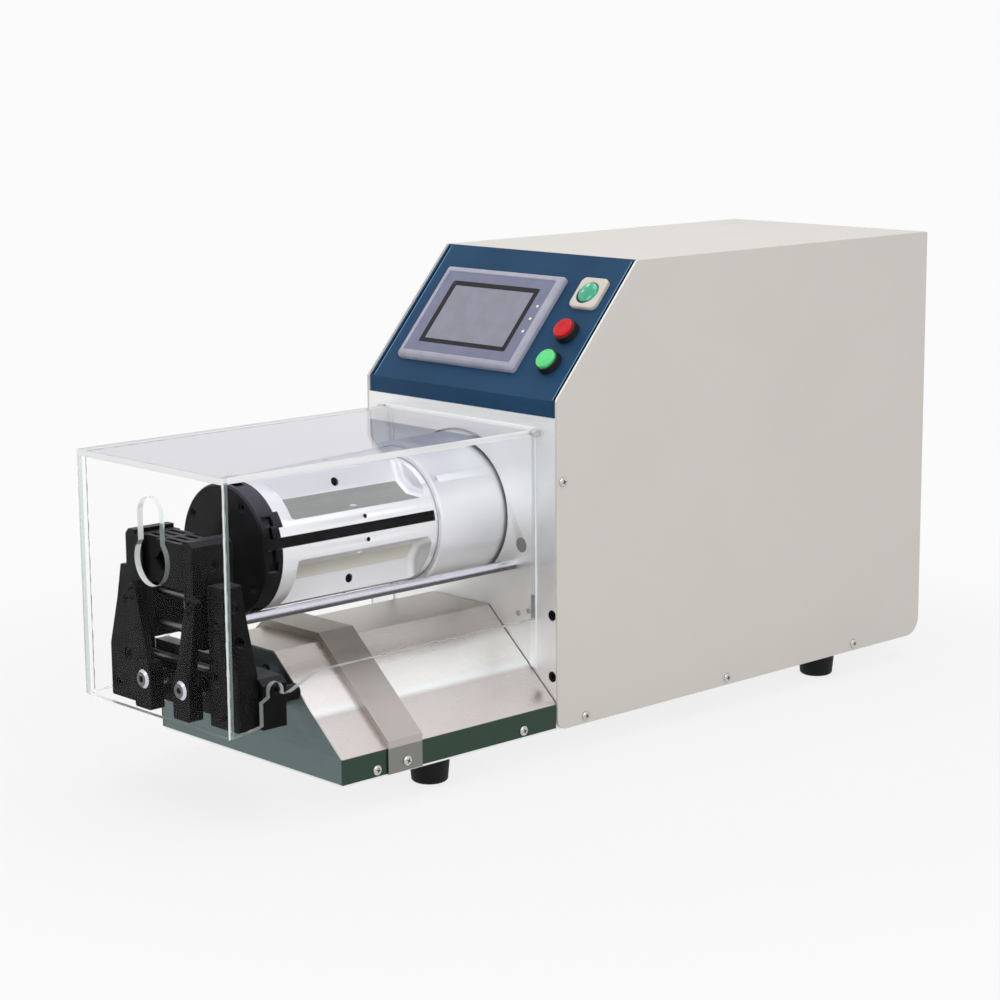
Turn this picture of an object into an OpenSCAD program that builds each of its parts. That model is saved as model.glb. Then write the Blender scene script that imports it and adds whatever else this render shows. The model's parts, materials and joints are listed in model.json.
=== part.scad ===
// Coaxial cable stripping machine, bench type.
// Own frame in millimetres: X to the right, Y to the back, Z up, origin on the floor under the middle.
// The rotary head, the cable clamp and the clear cover stand in front of the cabinet.

/* [Cabinet] */
// Width over the side panels
cab_w = 230; // [220:1:242]
// Length from the front plate to the rear edge
cab_l = 466.7; // [450:0.1:490]
// Height of the side panels
cab_h = 370.9; // [355:0.1:390]
// How far the top edge sits behind the front plate
top_back = 90.5; // [82:0.5:100]
// Height of the bend under the sloping panel
bend_z = 267.2; // [262:0.1:274]
// Height of the lower edge of the panel's lip
lip_z = 252.6; // [251:0.1:256]
// Thickness of the cabinet sheet
sheet_t = 2; // [1.5:0.1:2.5]
// Radius of the side panels' lower rear corner
rear_r = 16; // [10:1:22]
// Height of the rubber feet
foot_h = 21; // [16:1:26]
// Foot radius at the floor
foot_r = 14.6; // [12:0.2:17]
// How far the feet's middles sit inside the sides
foot_in = 23; // [20:1:31]
// Gap between the sloping panel and the side panels
panel_gap = 2; // [1:0.1:2.5]

/* [Front plate] */
// Thickness of the front plate
plate_t = 12; // [10:1:15]
// Thickness of the base plate
base_t = 12; // [11:1:14]
// Thickness of the rim that the cover closes on
seat_t = 1; // [0.6:0.1:1.5]
// Half width over the rim
seat_x = 90.8; // [90:0.1:91.2]
// Width of the rim
seat_w = 6.2; // [5.8:0.1:7]
// Radius of the hole round the quill
hole_r = 57.5; // [57:0.5:60]

/* [Cover] */
// Length of the clear cover
cover_l = 308.7; // [307:0.1:330]
// Half width of the clear cover
cover_x = 91.3; // [90.8:0.1:96]
// Thickness of the clear sheet
pane_t = 5; // [3:0.5:5.4]
// Height of the cover's top
cover_z = 242.3; // [236:0.1:243]
// Height of the cover's front lower edge
cover_low = 50; // [46:0.5:54]
// Radius of the round part of the keyhole
key_r = 19.5; // [16:0.5:24]
// Width of the keyhole's slot
key_w = 28; // [20:0.1:32]
// Top of the keyhole's slot
key_top = 217.2; // [205:0.1:225]

/* [Rotary head] */
// Height of the spindle axis
spindle_z = 167; // [165:0.5:169]
// Outer radius of the quill
quill_r = 55; // [54.5:0.1:56]
// How far the quill stands out of the plate
quill_out = 68; // [66:1:69]
// Outer radius of the cage
cage_r = 50; // [48:0.5:50.5]
// Width of a cage bar
bar_w = 31; // [28:0.5:33]
// How far a pocket's two sides lean outwards, in degrees
draft_a = 15.3; // [8:0.1:18]
// Distance of a pocket's floor from the spindle axis
floor_d = 36; // [35:0.5:37]
// Angle of the first bar
bar_a = 11.5; // [8:0.5:16]
// Width of a knife arm
arm_w = 8; // [7:0.5:9]
// Radius of the black head ring
ring_r = 51; // [49.5:0.5:52]

/* [Chute] */
// Half width of the chute's flat top
hood_top_x = 34; // [30:1:38]
// Height of the chute's flat top
hood_top_z = 91; // [89:0.5:93]
// How far the skirt sits inside the side panels' outer faces
hood_in = 1; // [0.5:0.1:3]
// Height of the skirt's upper edge
skirt_z = 22; // [20:1:26]
// Length of the chute
hood_l = 222; // [219:1:225]
// Thickness of the chute's sheet
hood_t = 1.5; // [1:0.1:2]
// Width of the strap over the chute
strap_w = 34; // [28:1:40]
// Front edge of the strap
strap_y = 178.5; // [172:0.5:184]

/* [Clamp] */
// Sideways place of the guide rods
rod_x_at = 64; // [62:0.5:66]
// Height of the guide rods
rod_z_at = 129; // [127:0.5:130]
// Radius of the guide rods
rod_r = 4; // [3.5:0.1:4.5]
// Radius of the cross shafts
shaft_r = 4; // [3:0.1:4.4]
// Half width of the open notch
notch_a = 11; // [9:0.5:12]
// Half distance of the lever pivots
lever_x = 24; // [23.8:0.1:24.2]
// Height of the lever pivots
lever_z = 73; // [72:0.1:73.5]
// Sideways place of the jaw pins
pin_x = 36.7; // [35.5:0.1:37.2]

/* [Control panel] */
// Width of the screen unit
hmi_w = 142; // [130:1:150]
// Height of the screen unit
hmi_h = 94; // [86:1:98]
// Sideways place of the screen unit
hmi_x = -19.5; // [-24:0.5:-16]
// Distance from the right side to the middle of the buttons
btn_in = 31; // [25:0.5:35]
// Radius of a push button
btn_r = 8.8; // [7:0.1:10]
// Side of the power switch plate
plate_s = 29.5; // [26:0.5:31]

/* [Hidden] */
face_y = (cover_l - cab_l) / 2;
half_w = cab_w / 2;
in_w = half_w - sheet_t;
foot_x = half_w - foot_in;
hood_x = half_w - hood_in;
btn_x = half_w - btn_in;
slope_a = atan2(cab_h - bend_z, top_back);
slope_l = norm([top_back, cab_h - bend_z]);
inset = 2;
cover_back = -seat_t - 0.5;
hinge_y = cover_back - pane_t / 2;
hinge_z = cover_z - pane_t / 2;
pin_r = 1.2;
pin_in = 8;
lug_r = 3;
lug_w = 4.5;
lug_gap = 0.4;
arm_angles = [for (k = [0:3]) bar_a + 90 * k];
rim_v = sqrt(cage_r * cage_r - bar_w * bar_w / 4);
wall_d = bar_w / 2 * cos(draft_a) + rim_v * sin(draft_a);
key_a = 21;
pivot_y = -140;
pivot_r = 38;
ring_front = -241;
ring_back = -224;
win_front = -209;
win_back = -74;
cone_y0 = -100;
cone_y1 = -57;
jaw_front = -300;
jaw_back = -264;
shaft_y = -283;
shaft_hi = 140;
shaft_lo = 115;
pin_z = 137;
up_front = -291;
up_back = -273;
block_back = -251;
block_top = 87;
block_low = 49;
gear_r = lever_x;
gap = 0.05;
mot_z = 106;
belt_y0 = 172;
belt_y1 = 186;
pulley_big = 34;
pulley_small = 20;
rail_top = 27;
deck_z = 46;
deck_t = 10;
screw_z = 34;
cream = [0.82, 0.80, 0.76];
navy = [0.13, 0.24, 0.36];
alu = [0.86, 0.87, 0.88];
black = [0.07, 0.07, 0.08];
steel = [0.62, 0.62, 0.60];
dark = [0.22, 0.22, 0.24];
lilac = [0.55, 0.55, 0.64];
foot_ys = [-117, 348.5];
side_screws = [[6.5, 201.9], [31.5, 6.2], [202.3, 6.3], [372.1, 6.4]];
skirt_screws = [[-188.8, 7.3], [-37.1, 7.3], [-160, 9.1]];
strap_screw = [-160, 9.1];
rear_screws = [for (x = [9 - in_w, in_w - 9]) for (z = [30, cab_h * 0.54, cab_h - 15]) [x, z]];
vent_pitch = in_w - 51;
inlet_x = 43 - in_w;
inlet_z = 60;
plate_bolt_x = 108.8 - 113 + in_w;
plate_bolt_z = [93.6, 43.3];
plug_x = 73;
plug_z = 146;
plug_r = 6.2;
plug_t = 4;
seat_screws = [[70, 89.5], [81.8, 93.2]];
catch_z = [88, 107.5];
catch_t = 3;
hmi_s = slope_l * 0.489;
plate_s_at = slope_l * 0.741;
btn_s = [slope_l * 0.4613, slope_l * 0.2427];
rock_a = 7;
wall_y = cab_l - 86.7;
wall_t = 3;
drive_end = wall_y - 14;
box_t = 44;
box_z = 80;
board_y = wall_y + wall_t + 8;
clamp_y = 27 - hood_l;
hood_gap = 0.8;
latch_y = -264.2;
latch_z = 79;
key_z = spindle_z + 2;
hood_k = (hood_top_z - skirt_z) / (hood_x - hood_top_x);
neck_x = 40;
stop_y = -278;
stop_z = 86.5;
up_bolts = [[57, 128, 3.6], [55, 86, 6], [70, 60, 3.4]];
block_x = 85.8;
jaw_screw = [-281, 167.6];
bear_r = 47;
head_screw_r = 43;

$fn = 64;

// Radius of the push cone at y, laid just under the noses of the knife arms.
function cone_at(y) = 20.745 + 0.26 * (y + 78);

function unit(v) = v / norm(v);

function corner(a, p, b, r, n) =
  let (q = [p[0], p[1]])
  let (u = unit([a[0] - p[0], a[1] - p[1]]))
  let (v = unit([b[0] - p[0], b[1] - p[1]]))
  let (h = acos(u * v) / 2)
  let (c = q + unit(u + v) * r / sin(h))
  let (s = q + u * r / tan(h) - c)
  let (e = q + v * r / tan(h) - c)
  let (a0 = atan2(s[1], s[0]))
  let (d0 = atan2(e[1], e[0]) - a0)
  let (d = d0 > 180 ? d0 - 360 : d0 < -180 ? d0 + 360 : d0)
  [for (i = [0:n]) c + r * [cos(a0 + d * i / n), sin(a0 + d * i / n)]];

function fillet(p, n = 6) =
  let (m = len(p))
  [for (i = [0:m - 1])
    each (p[i][2] <= 0
      ? [[p[i][0], p[i][1]]]
      : corner(p[(i + m - 1) % m], p[i], p[(i + 1) % m], p[i][2], n))];

// Point of the sloping panel in the YZ plane, s up the slope and n out of it.
function on_panel(s, n) =
  [s * cos(slope_a) - n * sin(slope_a), bend_z + s * sin(slope_a) + n * cos(slope_a)];

module rod_y(x, z, r, y0, y1) {
  translate([x, y0, z])
    rotate([-90, 0, 0])
      cylinder(r = r, h = y1 - y0);
}

module cone_y(x, z, r0, r1, y0, y1) {
  translate([x, y0, z])
    rotate([-90, 0, 0])
      cylinder(r1 = r0, r2 = r1, h = y1 - y0);
}

module rod_x(y, z, r, x0, x1) {
  translate([x0, y, z])
    rotate([0, 90, 0])
      cylinder(r = r, h = x1 - x0);
}

module rod_z(x, y, r, z0, z1) {
  translate([x, y, z0])
    cylinder(r = r, h = z1 - z0);
}

module block(x0, x1, y0, y1, z0, z1) {
  translate([x0, y0, z0])
    cube([x1 - x0, y1 - y0, z1 - z0]);
}

// Outline in the YZ plane drawn out along X.
module along_x(x0, x1) {
  translate([x0, 0, 0])
    rotate([90, 0, 90])
      linear_extrude(x1 - x0)
        children();
}

// Outline in the XZ plane drawn out along Y.
module along_y(y0, y1) {
  translate([0, y1, 0])
    rotate([90, 0, 0])
      linear_extrude(y1 - y0)
        children();
}

module both() {
  children();
  mirror([1, 0, 0])
    children();
}

// Everything is drawn from the front plate's face and the underside of the side panels.
module place() {
  translate([0, face_y, foot_h])
    children();
}

// Frame of the sloping panel: x to the right, y up the slope, z out of it.
module on_slope() {
  translate([0, 0, bend_z])
    rotate([slope_a, 0, 0])
      children();
}

// Frame of one bar of the rotary head: x outward, y to the back.
module at_angle(a) {
  translate([0, 0, spindle_z])
    rotate([0, -a, 0])
      children();
}

// Rounded rectangle in the current plane, centred.
module plate2d(w, h, r) {
  polygon(fillet([[-w / 2, -h / 2, r], [w / 2, -h / 2, r], [w / 2, h / 2, r], [-w / 2, h / 2, r]]));
}

// Domed screw along +X with its head's seat at x0.
module dome_x(x0, y, z, r, h, shank) {
  translate([x0, y, z])
    rotate([0, 90, 0])
      rotate_extrude()
        polygon(concat([[0, 0], [r, 0], [r, h * 0.3]],
          [for (i = [1:4]) [r * cos(i * 18), h * 0.3 + h * 0.7 * sin(i * 18)]], [[0, h]]));
  rod_x(y, z, r * 0.45, x0 - shank, x0 + h * 0.2);
}

module side2d(g) {
  polygon(fillet([[g, g, 9], [cab_l - g, g, rear_r], [cab_l - g, cab_h, 1.5],
    [top_back, cab_h, 3], [g, bend_z, 5]]));
}

// Cabinet

module base_plate() {
  color(alu)
    place()
      difference() {
        union() {
          block(-hood_x + hood_t, hood_x - hood_t, -hood_l + hood_t, 0, 0, base_t);
          block(-in_w, in_w, 0, cab_l - rear_r - 2, 0, base_t);
        }
        for (y = foot_ys)
          both()
            rod_z(foot_x, y, 4, -1, base_t + 1);
        for (p = side_screws)
          if (p[1] < base_t)
            both()
              rod_x(p[0], p[1], 1.8, in_w - 8, half_w);
        for (p = skirt_screws)
          both()
            rod_x(p[0], p[1], 1.8, hood_x - 9, hood_x);
      }
}

module feet() {
  color(black)
    place()
      for (y = foot_ys)
        both()
          translate([foot_x, y, 0])
            rotate_extrude()
              polygon([[0, -foot_h], [foot_r - 3, -foot_h], [foot_r - 1.2, -foot_h + 0.6],
                [foot_r - 0.2, -foot_h + 2], [foot_r, -foot_h + 4], [foot_r + 1.6, 0],
                [4, 0], [4, base_t], [0, base_t]]);
}

module side_cover() {
  color(cream)
    place()
      difference() {
        union() {
          both()
            along_x(in_w, half_w)
              side2d(0);
          block(-in_w - 1, in_w + 1, panel_top() + 1.4, cab_l, cab_h - sheet_t, cab_h);
        }
        for (p = side_screws)
          both()
            rod_x(p[0], p[1], 1.8, in_w - 1, half_w + 1);
      }
}

// Upper end of the sloping panel's face, just under the cabinet's top: up the slope, and as a depth.
function panel_end() = (cab_h - 0.2 - bend_z + inset * cos(slope_a)) / sin(slope_a);
function panel_top() = on_panel(panel_end(), -inset)[0];

module control_panel() {
  s1 = panel_end();
  y1 = panel_top() + 1;
  t = sheet_t;
  zf = cab_h - sheet_t;
  yl = on_panel(0, -inset)[0];
  si = (yl + t - (inset + t) * sin(slope_a)) / cos(slope_a);
  sb = (zf - t - bend_z + (inset + t) * cos(slope_a)) / sin(slope_a);
  color(navy)
    place()
      difference() {
        along_x(-in_w + panel_gap, in_w - panel_gap)
          polygon([[yl, lip_z], on_panel(0, -inset), on_panel(s1, -inset),
            [y1, cab_h - 0.2], [y1, zf], [y1 + 16, zf], [y1 + 16, zf - t],
            on_panel(sb, -inset - t), on_panel(si, -inset - t), [yl + t, lip_z]]);
        on_slope()
          translate([0, 0, -8]) {
            translate([hmi_x, hmi_s, 0])
              linear_extrude(10)
                plate2d(hmi_w - 12, hmi_h - 14, 2);
            translate([btn_x, plate_s_at, 0])
              cylinder(r = plate_s / 2 - 2.5, h = 10);
            for (s = btn_s)
              translate([btn_x, s, 0])
                cylinder(r = btn_r - 0.8, h = 10);
          }
      }
}

module rear_panel() {
  y0 = cab_l - 5;
  color(cream)
    place()
      difference() {
        union() {
          block(-in_w, in_w, y0, y0 + sheet_t, base_t, cab_h - sheet_t);
          block(-in_w, in_w, y0 - 22, y0, base_t, base_t + sheet_t);
        }
        for (i = [0:9])
          for (x = [-vent_pitch, 0, vent_pitch])
            block(x - 23, x + 23, y0 - 1, y0 + sheet_t + 1, cab_h - 62 - i * 11, cab_h - 58 - i * 11);
        translate([inlet_x, y0 - 1, inlet_z])
          rotate([-90, 0, 0])
            linear_extrude(sheet_t + 2)
              plate2d(27.5, 31, 2);
        for (p = rear_screws)
          rod_y(p[0], p[1], 1.5, y0 - 1, y0 + sheet_t + 1);
      }
}

module inlet() {
  y0 = cab_l - 5 + sheet_t;
  color(black)
    place()
      difference() {
        union() {
          translate([inlet_x, y0, inlet_z])
            rotate([-90, 0, 0])
              linear_extrude(2.4)
                plate2d(50, 37, 3);
          block(inlet_x - 13.7, inlet_x + 13.7, y0 - 32, y0 + 0.5, inlet_z - 15.4, inlet_z + 15.4);
        }
        difference() {
          block(inlet_x - 12, inlet_x + 12, y0 - 16, y0 + 4, inlet_z - 8, inlet_z + 8);
          for (k = [-1:1])
            block(inlet_x + k * 7 - 1, inlet_x + k * 7 + 1, y0 - 18, y0 - 1,
              inlet_z - 2 - (k == 0 ? 3 : 0), inlet_z + 2 - (k == 0 ? 3 : 0));
        }
      }
}

module panel_screws() {
  color(steel)
    place() {
      for (p = side_screws)
        both()
          dome_x(half_w, p[0], p[1], 4, 2.2, 8);
      for (p = rear_screws)
        translate([p[0], cab_l - 5 + sheet_t, p[1]])
          rotate([-90, 0, 0]) {
            cylinder(r = 3, h = 1.8);
            translate([0, 0, -6])
              cylinder(r = 1.5, h = 7);
          }
    }
}

module gussets() {
  color(alu)
    place()
      difference() {
        both()
          along_x(in_w - 10, in_w)
            polygon([[plate_t, base_t], [plate_t + 80, base_t], [plate_t, base_t + 100]]);
        for (z = plate_bolt_z)
          both()
            rod_y(plate_bolt_x, z, 2.5, plate_t - 1, plate_t + 10);
      }
}

module front_plate() {
  color(alu)
    place()
      difference() {
        block(-in_w, in_w, 0, plate_t, base_t, lip_z);
        rod_y(0, spindle_z, hole_r, -1, plate_t + 1);
        both() {
          rod_y(rod_x_at, rod_z_at, rod_r, -1, plate_t + 1);
          for (z = plate_bolt_z) {
            rod_y(plate_bolt_x, z, 2.5, -1, plate_t + 1);
            rod_y(plate_bolt_x, z, 4.4, -1, 5.4);
          }
          for (p = side_screws)
            if (p[1] > 100)
              rod_x(p[0], p[1], 1.8, in_w - 8, in_w + 1);
          rod_y(plug_x, plug_z, plug_r, -1, plug_t);
          for (p = seat_screws)
            rod_y(p[0], p[1], 1.2, -1, 6);
          catch_bar(-1, 0);
        }
      }
}

// Rim on the front plate: two posts that stand on the chute, joined along the top.
module seat_plate() {
  xi = seat_x - seat_w;
  z0 = hood_top_z - (xi - hood_top_x) * hood_k + 0.4;
  z1 = cover_z + 1.1;
  color(alu)
    place()
      difference() {
        along_y(-seat_t, 0)
          polygon([[-seat_x, z0], [-xi, z0], [-xi, z1 - seat_w], [xi, z1 - seat_w], [xi, z0],
            [seat_x, z0], [seat_x, z1], [-seat_x, z1]]);
        both()
          catch_bar(-seat_t - 1, 0);
      }
}

// Bar of the cover's magnetic catch, from y0 in front to its seat in the plate, made longer by g behind.
module catch_bar(y0, g) {
  block(seat_x - seat_w + 0.6, seat_x - 0.6, y0, catch_t + g, catch_z[0], catch_z[1]);
}

module plate_bolts() {
  color(black)
    place()
      both()
        for (z = plate_bolt_z)
          difference() {
            union() {
              rod_y(plate_bolt_x, z, 4.2, 0.4, 5.4);
              rod_y(plate_bolt_x, z, 2.5, 5, plate_t + 9);
            }
            translate([plate_bolt_x, 0, z])
              rotate([-90, 0, 0])
                cylinder(r = 2.3, h = 3, $fn = 6);
          }
}

module plate_plugs() {
  color(alu)
    place()
      both() {
        rod_y(plug_x, plug_z, plug_r, 0.5, plug_t);
        for (p = seat_screws) {
          rod_y(p[0], p[1], 2.2, -1.1, 0);
          rod_y(p[0], p[1], 1.2, -0.5, 6);
        }
      }
}

module cover_catch() {
  color(dark)
    place()
      both()
        catch_bar(-seat_t - 0.1, 0);
}

// Control panel parts

module hmi_case() {
  color(lilac)
    place()
      on_slope()
        difference() {
          union() {
            translate([hmi_x, hmi_s, -inset])
              linear_extrude(3.4)
                plate2d(hmi_w, hmi_h, 3);
            hull() {
              translate([hmi_x, hmi_s, 1.3])
                linear_extrude(0.1)
                  plate2d(hmi_w, hmi_h, 3);
              translate([hmi_x, hmi_s, 4.2])
                linear_extrude(0.2)
                  plate2d(hmi_w - 5, hmi_h - 5, 2);
            }
            translate([hmi_x, hmi_s, -34])
              linear_extrude(33)
                plate2d(hmi_w - 12.4, hmi_h - 14.4, 2);
          }
          translate([hmi_x, hmi_s, 3.9])
            linear_extrude(2)
              plate2d(hmi_w - 12.6, hmi_h - 12, 1.5);
          translate([hmi_x, hmi_s, 2.4])
            linear_extrude(4)
              plate2d(105.3, 63.3, 2);
          for (i = [-1:1])
            translate([hmi_x + hmi_w / 2 - 10.8, hmi_s + 2.2 + i * 12.6, 2.9])
              cylinder(r = 1.3, h = 4);
        }
}

module hmi_screen() {
  hmi_lamps();
  color(dark)
    place()
      on_slope()
        difference() {
          translate([hmi_x, hmi_s, 2.4])
            linear_extrude(1.6)
              plate2d(105.3, 63.3, 2);
          translate([hmi_x, hmi_s, 3.7])
            linear_extrude(1)
              plate2d(95, 54.5, 1);
        }
}

module hmi_lamps() {
  color([0.9, 0.9, 0.95])
    place()
      on_slope()
        for (i = [-1:1])
          translate([hmi_x + hmi_w / 2 - 10.8, hmi_s + 2.2 + i * 12.6, 2.9])
            cylinder(r = 1.3, h = 1.3);
}

module switch_plate() {
  color([0.80, 0.77, 0.70])
    place()
      on_slope()
        difference() {
          union() {
            translate([btn_x, plate_s_at, -inset])
              linear_extrude(3.6)
                plate2d(plate_s, plate_s, 4);
            translate([btn_x, plate_s_at, -20])
              cylinder(r = plate_s / 2 - 2.6, h = 20);
          }
          translate([btn_x, plate_s_at, -14])
            cylinder(r = 9.8, h = 20);
          translate([btn_x - 11, plate_s_at, -4])
            rotate([0, 90, 0])
              cylinder(r = 1.5 + gap, h = 22);
        }
}

module power_rocker() {
  color([0.10, 0.65, 0.42])
    place()
      on_slope()
        translate([btn_x, plate_s_at, -4])
          rotate([rock_a, 0, 0]) {
            difference() {
              translate([0, 0, -5])
                cylinder(r = 8.6, h = 13);
              translate([-12, -16, 7])
                rotate([-6, 0, 0])
                  cube([24, 16, 6]);
              translate([-12, 0, 7])
                rotate([6, 0, 0])
                  cube([24, 16, 6]);
            }
            translate([-10.8, 0, 0])
              rotate([0, 90, 0])
                cylinder(r = 1.5, h = 21.6);
          }
}

module button_collars() {
  color(black)
    place()
      on_slope()
        for (s = btn_s)
          translate([btn_x, s, 0])
            difference() {
              union() {
                translate([0, 0, -inset])
                  cylinder(r1 = btn_r + 1.8, r2 = btn_r + 1.2, h = 6.4);
                translate([0, 0, -26])
                  cylinder(r = btn_r - 0.8, h = 25);
                translate([0, 0, -inset - sheet_t - 4.1])
                  cylinder(r = btn_r + 2.6, h = 4, $fn = 6);
              }
              translate([0, 0, -1.6])
                cylinder(r = btn_r + 0.08, h = 8);
              translate([0, 0, -22])
                cylinder(r = 4 + gap, h = 24);
            }
}

module push_cap(s) {
  place()
    on_slope()
      translate([btn_x, s, 0]) {
        translate([0, 0, 0.8])
          cylinder(r = btn_r, h = 5.4);
        translate([0, 0, 6.2])
          cylinder(r1 = btn_r, r2 = btn_r - 0.8, h = 0.8);
        translate([0, 0, -18])
          cylinder(r = 4, h = 19);
      }
}

module red_button() {
  color([0.75, 0.06, 0.08])
    push_cap(btn_s[0]);
}

module green_button() {
  color([0.15, 0.70, 0.25])
    push_cap(btn_s[1]);
}

// Cover

module cover() {
  xi = cover_x - pane_t;
  fy = -cover_l + pane_t;
  color([0.85, 0.92, 0.95, 0.3])
    place()
      difference() {
        union() {
          block(-cover_x, cover_x, -cover_l, fy, cover_low, cover_z);
          block(-cover_x, cover_x, fy, hinge_y, cover_z - pane_t, cover_z);
          rod_x(hinge_y, hinge_z, pane_t / 2, -cover_x, cover_x);
          both()
            along_x(xi, cover_x)
              polygon([[fy, cover_low], [-281.7, cover_low + 2.9], [-277, cover_low + 4], [-277, 71.3],
                [-269.5, 75.1], [-250.6, 75.2], [-225, 86.5], [cover_back, 87.8],
                [cover_back, hinge_z], [fy, hinge_z]]);
        }
        both()
          rod_x(hinge_y, hinge_z, pin_r + gap, cover_x - pin_in - 0.2, cover_x + 1);
        both()
          rod_x(latch_y, latch_z, 6.3, xi - 1, cover_x + 1);
        both()
          block(xi - 1, cover_x + 1, latch_y - 6.3, latch_y + 6.3, 70, latch_z);
        rod_y(0, key_z, key_r, -cover_l - 1, fy + 1);
        along_y(-cover_l - 1, fy + 1)
          polygon(fillet([[-key_w / 2, key_z, 0], [key_w / 2, key_z, 0],
            [key_w / 2, key_top, key_w / 2 - 0.1], [-key_w / 2, key_top, key_w / 2 - 0.1]], 12));
      }
}

// Small lugs on the front plate at the cover's rear upper corners, whose pins run in the top pane's edge.
module hinge_blocks() {
  x0 = cover_x + lug_gap;
  hinge_pins();
  color(alu)
    place()
      both()
        difference() {
          union() {
            block(x0, x0 + lug_w, hinge_y, 0, hinge_z - lug_r, hinge_z + lug_r);
            rod_x(hinge_y, hinge_z, lug_r, x0, x0 + lug_w);
          }
          rod_x(hinge_y, hinge_z, pin_r, x0 - 1, x0 + lug_w + 1);
        }
}

module hinge_pins() {
  color(steel)
    place()
      both()
        rod_x(hinge_y, hinge_z, pin_r, cover_x - pin_in, cover_x + lug_gap + lug_w);
}

// Chute in front of the cabinet

function slope_z(x, d) = hood_top_z + d * sqrt(1 + hood_k * hood_k) - (x - hood_top_x) * hood_k;

// Outline of the chute, moved out by d.
module hood2d(d, low) {
  xt = hood_top_x + d * (sqrt(1 + hood_k * hood_k) - 1) / hood_k;
  xs = hood_x + d;
  polygon([[-xs, low], [-xs, slope_z(xs, d)], [-xt, hood_top_z + d], [xt, hood_top_z + d],
    [xs, slope_z(xs, d)], [xs, low]]);
}

module hood() {
  color(steel)
    place()
      difference() {
        along_y(-hood_l, -hood_gap)
          difference() {
            hood2d(0, 2);
            hood2d(-hood_t, -1);
          }
        for (p = skirt_screws)
          both()
            rod_x(p[0], p[1], 1.8, hood_x - 3, hood_x + 1);
      }
}

module hood_end() {
  color(steel)
    place()
      difference() {
        along_y(-hood_l, -hood_l + hood_t)
          hood2d(-hood_t, 2);
        block(-neck_x - 0.5, neck_x + 0.5, -hood_l - 1, -hood_l + hood_t + 1,
          block_low - 0.5, block_low + 8.5);
        rod_y(lever_x, lever_z, 5.5, -hood_l - 1, -hood_l + hood_t + 1);
      }
}

// Outline of the strap: parallel to the chute's slopes, its feet flat on the skirt.
module strap2d(d) {
  xt = hood_top_x + 0.3;
  xs = hood_x + hood_t - d;
  zt = hood_top_z + 6.5;
  zs = zt - (xs - xt) * hood_k - d * 0.32;
  polygon([[-xs, 1.5 - d], [-xs, zs], [-xt + d * 0.38, zt - d], [xt - d * 0.38, zt - d],
    [xs, zs], [xs, 1.5 - d]]);
}

module hood_strap() {
  color(steel)
    place()
      difference() {
        union() {
          along_y(-strap_y, -strap_y + strap_w)
            difference() {
              strap2d(0);
              strap2d(hood_t);
            }
          for (y = [-strap_y, -strap_y + strap_w - 1.2])
            along_y(y, y + 1.2)
              difference() {
                strap2d(0);
                hood2d(0, -3);
              }
        }
        both()
          rod_x(strap_screw[0], strap_screw[1], 1.8, hood_x - 3, hood_x + 5);
      }
}

module hood_screws() {
  color(steel)
    place()
      both() {
        dome_x(hood_x, skirt_screws[0][0], skirt_screws[0][1], 4, 2.2, 8);
        dome_x(hood_x, skirt_screws[1][0], skirt_screws[1][1], 4, 2.2, 8);
        dome_x(hood_x + hood_t, strap_screw[0], strap_screw[1], 4, 2.2, 9);
      }
}

// Clamp at the front

module guide_rods() {
  color(steel)
    place()
      both()
        rod_y(rod_x_at, rod_z_at, rod_r, up_back - 8, plate_t);
}

module uprights() {
  color(black)
    place()
      both()
        difference() {
          along_y(up_front, up_back)
            polygon(fillet([[47, block_low, 0], [80, block_low, 1], [80, 90, 0], [69, 128, 0],
              [63, 155, 1.5], [47, 155, 1]], 3));
          rod_y(rod_x_at, rod_z_at, rod_r, up_back - 8, up_back + 1);
          rod_x(shaft_y, shaft_hi, shaft_r, 40, 90);
          rod_x(shaft_y, shaft_lo, shaft_r, 40, 90);
          rod_x(stop_y, stop_z, 3, 40, 53);
          for (p = up_bolts) {
            rod_y(p[0], p[1], p[2] + 0.5, up_front - 1, up_front + 4);
            rod_y(p[0], p[1], p[2] * 0.5, up_front, up_front + 7.5);
          }
        }
}

module cross_block() {
  color(black)
    place()
      difference() {
        union() {
          along_y(up_back, block_back)
            polygon([[-block_x, block_low], [block_x, block_low], [block_x, block_top - 5],
              [block_x - 5, block_top], [5 - block_x, block_top], [-block_x, block_top - 5]]);
          both()
            rod_y(79, 71, 6.2, block_back - 1, block_back + 14);
        }
        block(-36, 36, block_back - 12, block_back + 1, 59.5, block_top - 1.2);
        both() {
          rod_y(lever_x, lever_z, 5 + gap, up_back - 1, block_back);
          rod_x(latch_y, latch_z, 2, block_x - 8, block_x + 1);
        }
      }
}

module top_bar() {
  color(steel)
    place()
      block(-46, 46, up_back, up_back + 12, block_top, block_top + 9);
}

module clamp_bolts() {
  color(black)
    place()
      both() {
        for (p = up_bolts)
          difference() {
            union() {
              rod_y(p[0], p[1], p[2], up_front + 0.6, up_front + 4);
              rod_y(p[0], p[1], p[2] * 0.5, up_front + 3, up_front + 7.5);
            }
            translate([p[0], up_front, p[1]])
              rotate([-90, 0, 0])
                cylinder(r = p[2] * 0.55, h = 2.4, $fn = 6);
          }
        difference() {
          union() {
            rod_x(latch_y, latch_z, 4, block_x, block_x + 4.6);
            rod_x(latch_y, latch_z, 2, block_x - 8, block_x + 1);
          }
          translate([block_x + 2, latch_y, latch_z])
            rotate([0, 90, 0])
              cylinder(r = 2.2, h = 4, $fn = 6);
        }
      }
}

module cross_shafts() {
  color(steel)
    place() {
      rod_x(shaft_y, shaft_hi, shaft_r, -65.2, 65.2);
      rod_x(shaft_y, shaft_lo, shaft_r, -66, 66);
      rod_x(stop_y, stop_z, 3, -53, 53);
    }
}

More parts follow.
